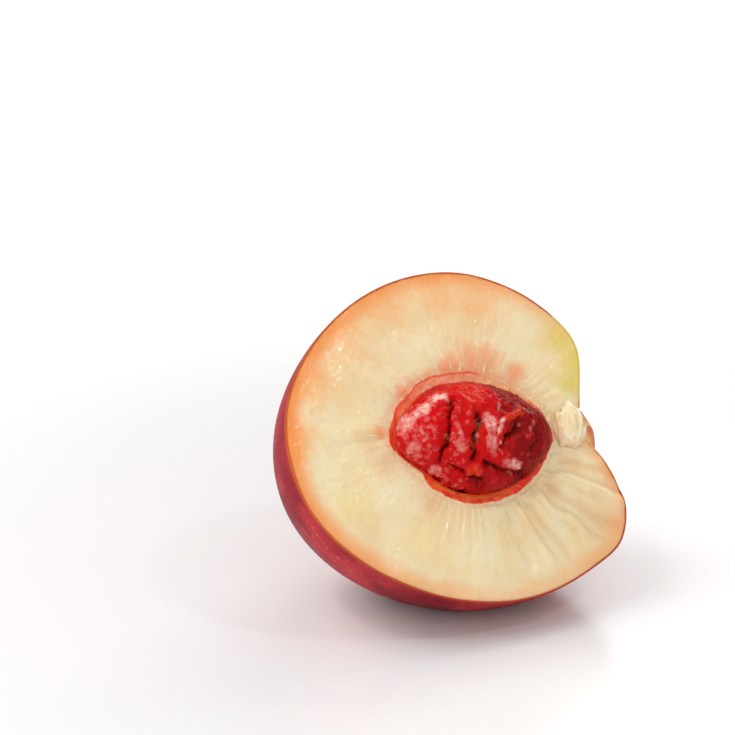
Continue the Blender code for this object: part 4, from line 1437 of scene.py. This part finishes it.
def stage_floor(colours):
    """A pale floor that glows white far from the fruit, so that it ends in the room."""
    recipe = Recipe("pale_floor", Specular_IOR_Level=0.35, Emission_Color=(1.0, 1.0, 1.0))
    where = recipe.where()
    cloud = recipe.grain(where, 3.0)
    away = recipe.node("ShaderNodeVectorMath", {0: where}, operation="LENGTH").outputs["Value"]
    mirrored = recipe.node("ShaderNodeLightPath").outputs["Is Glossy Ray"]
    glow = recipe.span(away, 0.08, 0.45, 0.0, 0.7)
    glow = recipe.times(glow, recipe.span(mirrored, 0.0, 1.0, 1.0, 0.1))
    shade = tuple(channel * 0.985 for channel in colours.floor)
    pale = recipe.mix(cloud, colours.floor, shade)
    pale = recipe.mix(recipe.times(mirrored, 0.6), pale, (0.0, 0.0, 0.0))
    gloss = recipe.span(cloud, 0.3, 0.7, 0.22, 0.26)
    recipe.shade(Base_Color=pale, Roughness=gloss, Emission_Strength=glow)
    shape = bmesh.new()
    bmesh.ops.create_grid(shape, x_segments=1, y_segments=1, size=4.0)
    mesh = bpy.data.meshes.new("pale_floor")
    shape.to_mesh(mesh)
    shape.free()
    mesh.materials.append(recipe.material)
    floor = bpy.data.objects.new("pale_floor", mesh)
    floor.location = (0.0, 0.0, -0.05 * MM)
    bpy.context.scene.collection.objects.link(floor)


def stage_sky(strength, mirrored):
    """An even white room that shows less in reflections than it lights."""
    world = bpy.data.worlds.new("white_room")
    world.use_nodes = True
    room = NodeWriter(world.node_tree)
    rays = room.node("ShaderNodeLightPath").outputs["Is Glossy Ray"]
    levels = {"Value": rays, "To Min": strength, "To Max": strength * mirrored}
    share = room.node("ShaderNodeMapRange", levels).outputs["Result"]
    sky = world.node_tree.nodes["Background"].inputs
    room.feed(sky["Color"], (1.0, 0.99, 0.98))
    room.feed(sky["Strength"], share)
    bpy.context.scene.world = world


def stage_camera(stage):
    elevation = stage.elevation
    up = Vector((0.0, math.sin(elevation), math.cos(elevation)))
    back = Vector((0.0, -math.cos(elevation), math.sin(elevation)))
    place = POSE.translation + back * stage.distance
    place = place + up * stage.aim_down - Vector((stage.aim_right, 0.0, 0.0))
    lens = bpy.data.cameras.new("camera")
    lens.lens = stage.lens
    lens.sensor_width = SENSOR_WIDTH
    camera = bpy.data.objects.new("camera", lens)
    camera.matrix_world = Matrix.Translation(place) @ Matrix.Rotation(math.pi / 2.0 - elevation, 4, "X")
    bpy.context.scene.collection.objects.link(camera)
    bpy.context.scene.camera = camera


def chosen(context):
    """The sizes and colours that a user has set."""
    return context.scene.nectarine_sizes, context.scene.nectarine_colours


class NECTARINE_OT_skin(bpy.types.Operator):
    """Make the thin skin over the cheek"""
    bl_idname = "nectarine.skin"
    bl_label = "Skin"

    def execute(self, context):
        sizes, colours = chosen(context)
        finish_piece(skin_mesh(sizes), skin_material(colours), "skin", "flesh_and_skin")
        return {"FINISHED"}


class NECTARINE_OT_flesh(bpy.types.Operator):
    """Make the flesh with its cut face and pit"""
    bl_idname = "nectarine.flesh"
    bl_label = "Flesh"

    def execute(self, context):
        sizes, colours = chosen(context)
        finish_piece(flesh_mesh(sizes), flesh_material(colours), "flesh", "flesh_and_skin")
        return {"FINISHED"}


class NECTARINE_OT_stone(bpy.types.Operator):
    """Make the furrowed stone"""
    bl_idname = "nectarine.stone"
    bl_label = "Stone"

    def execute(self, context):
        sizes, colours = chosen(context)
        finish_piece(stone_mesh(sizes), stone_material(colours), "stone", "stone")
        return {"FINISHED"}


class NECTARINE_OT_strands(bpy.types.Operator):
    """Make the torn strands by the stem hollow"""
    bl_idname = "nectarine.strands"
    bl_label = "Torn strands"

    def execute(self, context):
        sizes, colours = chosen(context)
        finish_piece(strand_mesh(sizes), strand_material(colours), "flesh", "flesh_and_skin")
        return {"FINISHED"}


class NECTARINE_OT_fibres(bpy.types.Operator):
    """Make the red fibres in the pit and the pale ones on the cut face"""
    bl_idname = "nectarine.fibres"
    bl_label = "Fibres"

    def execute(self, context):
        for make in (red_fibres, pale_fibres):
            mesh, finish = make(*chosen(context))
            finish_piece(mesh, finish, "flesh")
        return {"FINISHED"}


class NECTARINE_OT_juice(bpy.types.Operator):
    """Make the drops of juice"""
    bl_idname = "nectarine.juice"
    bl_label = "Juice"

    def execute(self, context):
        mesh, finish = juice_beads(*chosen(context))
        finish_piece(mesh, finish, "flesh")
        return {"FINISHED"}


class NECTARINE_OT_stage(bpy.types.Operator):
    """Make the floor, the lights and the camera"""
    bl_idname = "nectarine.stage"
    bl_label = "Stage"

    def execute(self, context):
        stage = context.scene.nectarine_stage
        context.scene.view_settings.view_transform = "Standard"
        stage_floor(context.scene.nectarine_colours)
        stage_sky(stage.sky, stage.sky_mirrored)
        for name, place, size, power, mirrored in LIGHTS:
            soft_light(name, place, size, getattr(stage, power), mirrored)
        stage_camera(stage)
        return {"FINISHED"}


class NECTARINE_PT_panel(bpy.types.Panel):
    """Lists the pieces of the half nectarine"""
    bl_idname = "NECTARINE_PT_panel"
    bl_label = "Half nectarine"
    bl_space_type = "VIEW_3D"
    bl_region_type = "UI"
    bl_category = "Nectarine"

    def draw(self, context):
        for operator in PIECES:
            self.layout.operator(operator.bl_idname)
        for group in (*chosen(context), context.scene.nectarine_stage):
            box = self.layout.box()
            for name in group.__annotations__:
                box.prop(group, name)


PIECES = (
    NECTARINE_OT_skin,
    NECTARINE_OT_flesh,
    NECTARINE_OT_stone,
    NECTARINE_OT_strands,
    NECTARINE_OT_fibres,
    NECTARINE_OT_juice,
    NECTARINE_OT_stage,
)
GROUPS = (NectarineSizes, NectarineColours, NectarineStage)


def register():
    for group in (*GROUPS, *PIECES, NECTARINE_PT_panel):
        bpy.utils.register_class(group)
    bpy.types.Scene.nectarine_sizes = PointerProperty(type=NectarineSizes)
    bpy.types.Scene.nectarine_colours = PointerProperty(type=NectarineColours)
    bpy.types.Scene.nectarine_stage = PointerProperty(type=NectarineStage)


def unregister():
    del bpy.types.Scene.nectarine_stage
    del bpy.types.Scene.nectarine_colours
    del bpy.types.Scene.nectarine_sizes
    for group in (NECTARINE_PT_panel, *reversed(PIECES), *reversed(GROUPS)):
        bpy.utils.unregister_class(group)


def main():
    register()
    bpy.ops.nectarine.skin()
    bpy.ops.nectarine.flesh()
    bpy.ops.nectarine.stone()
    bpy.ops.nectarine.strands()
    bpy.ops.nectarine.fibres()
    bpy.ops.nectarine.juice()
    bpy.ops.nectarine.stage()


if __name__ == "__main__":
    main()
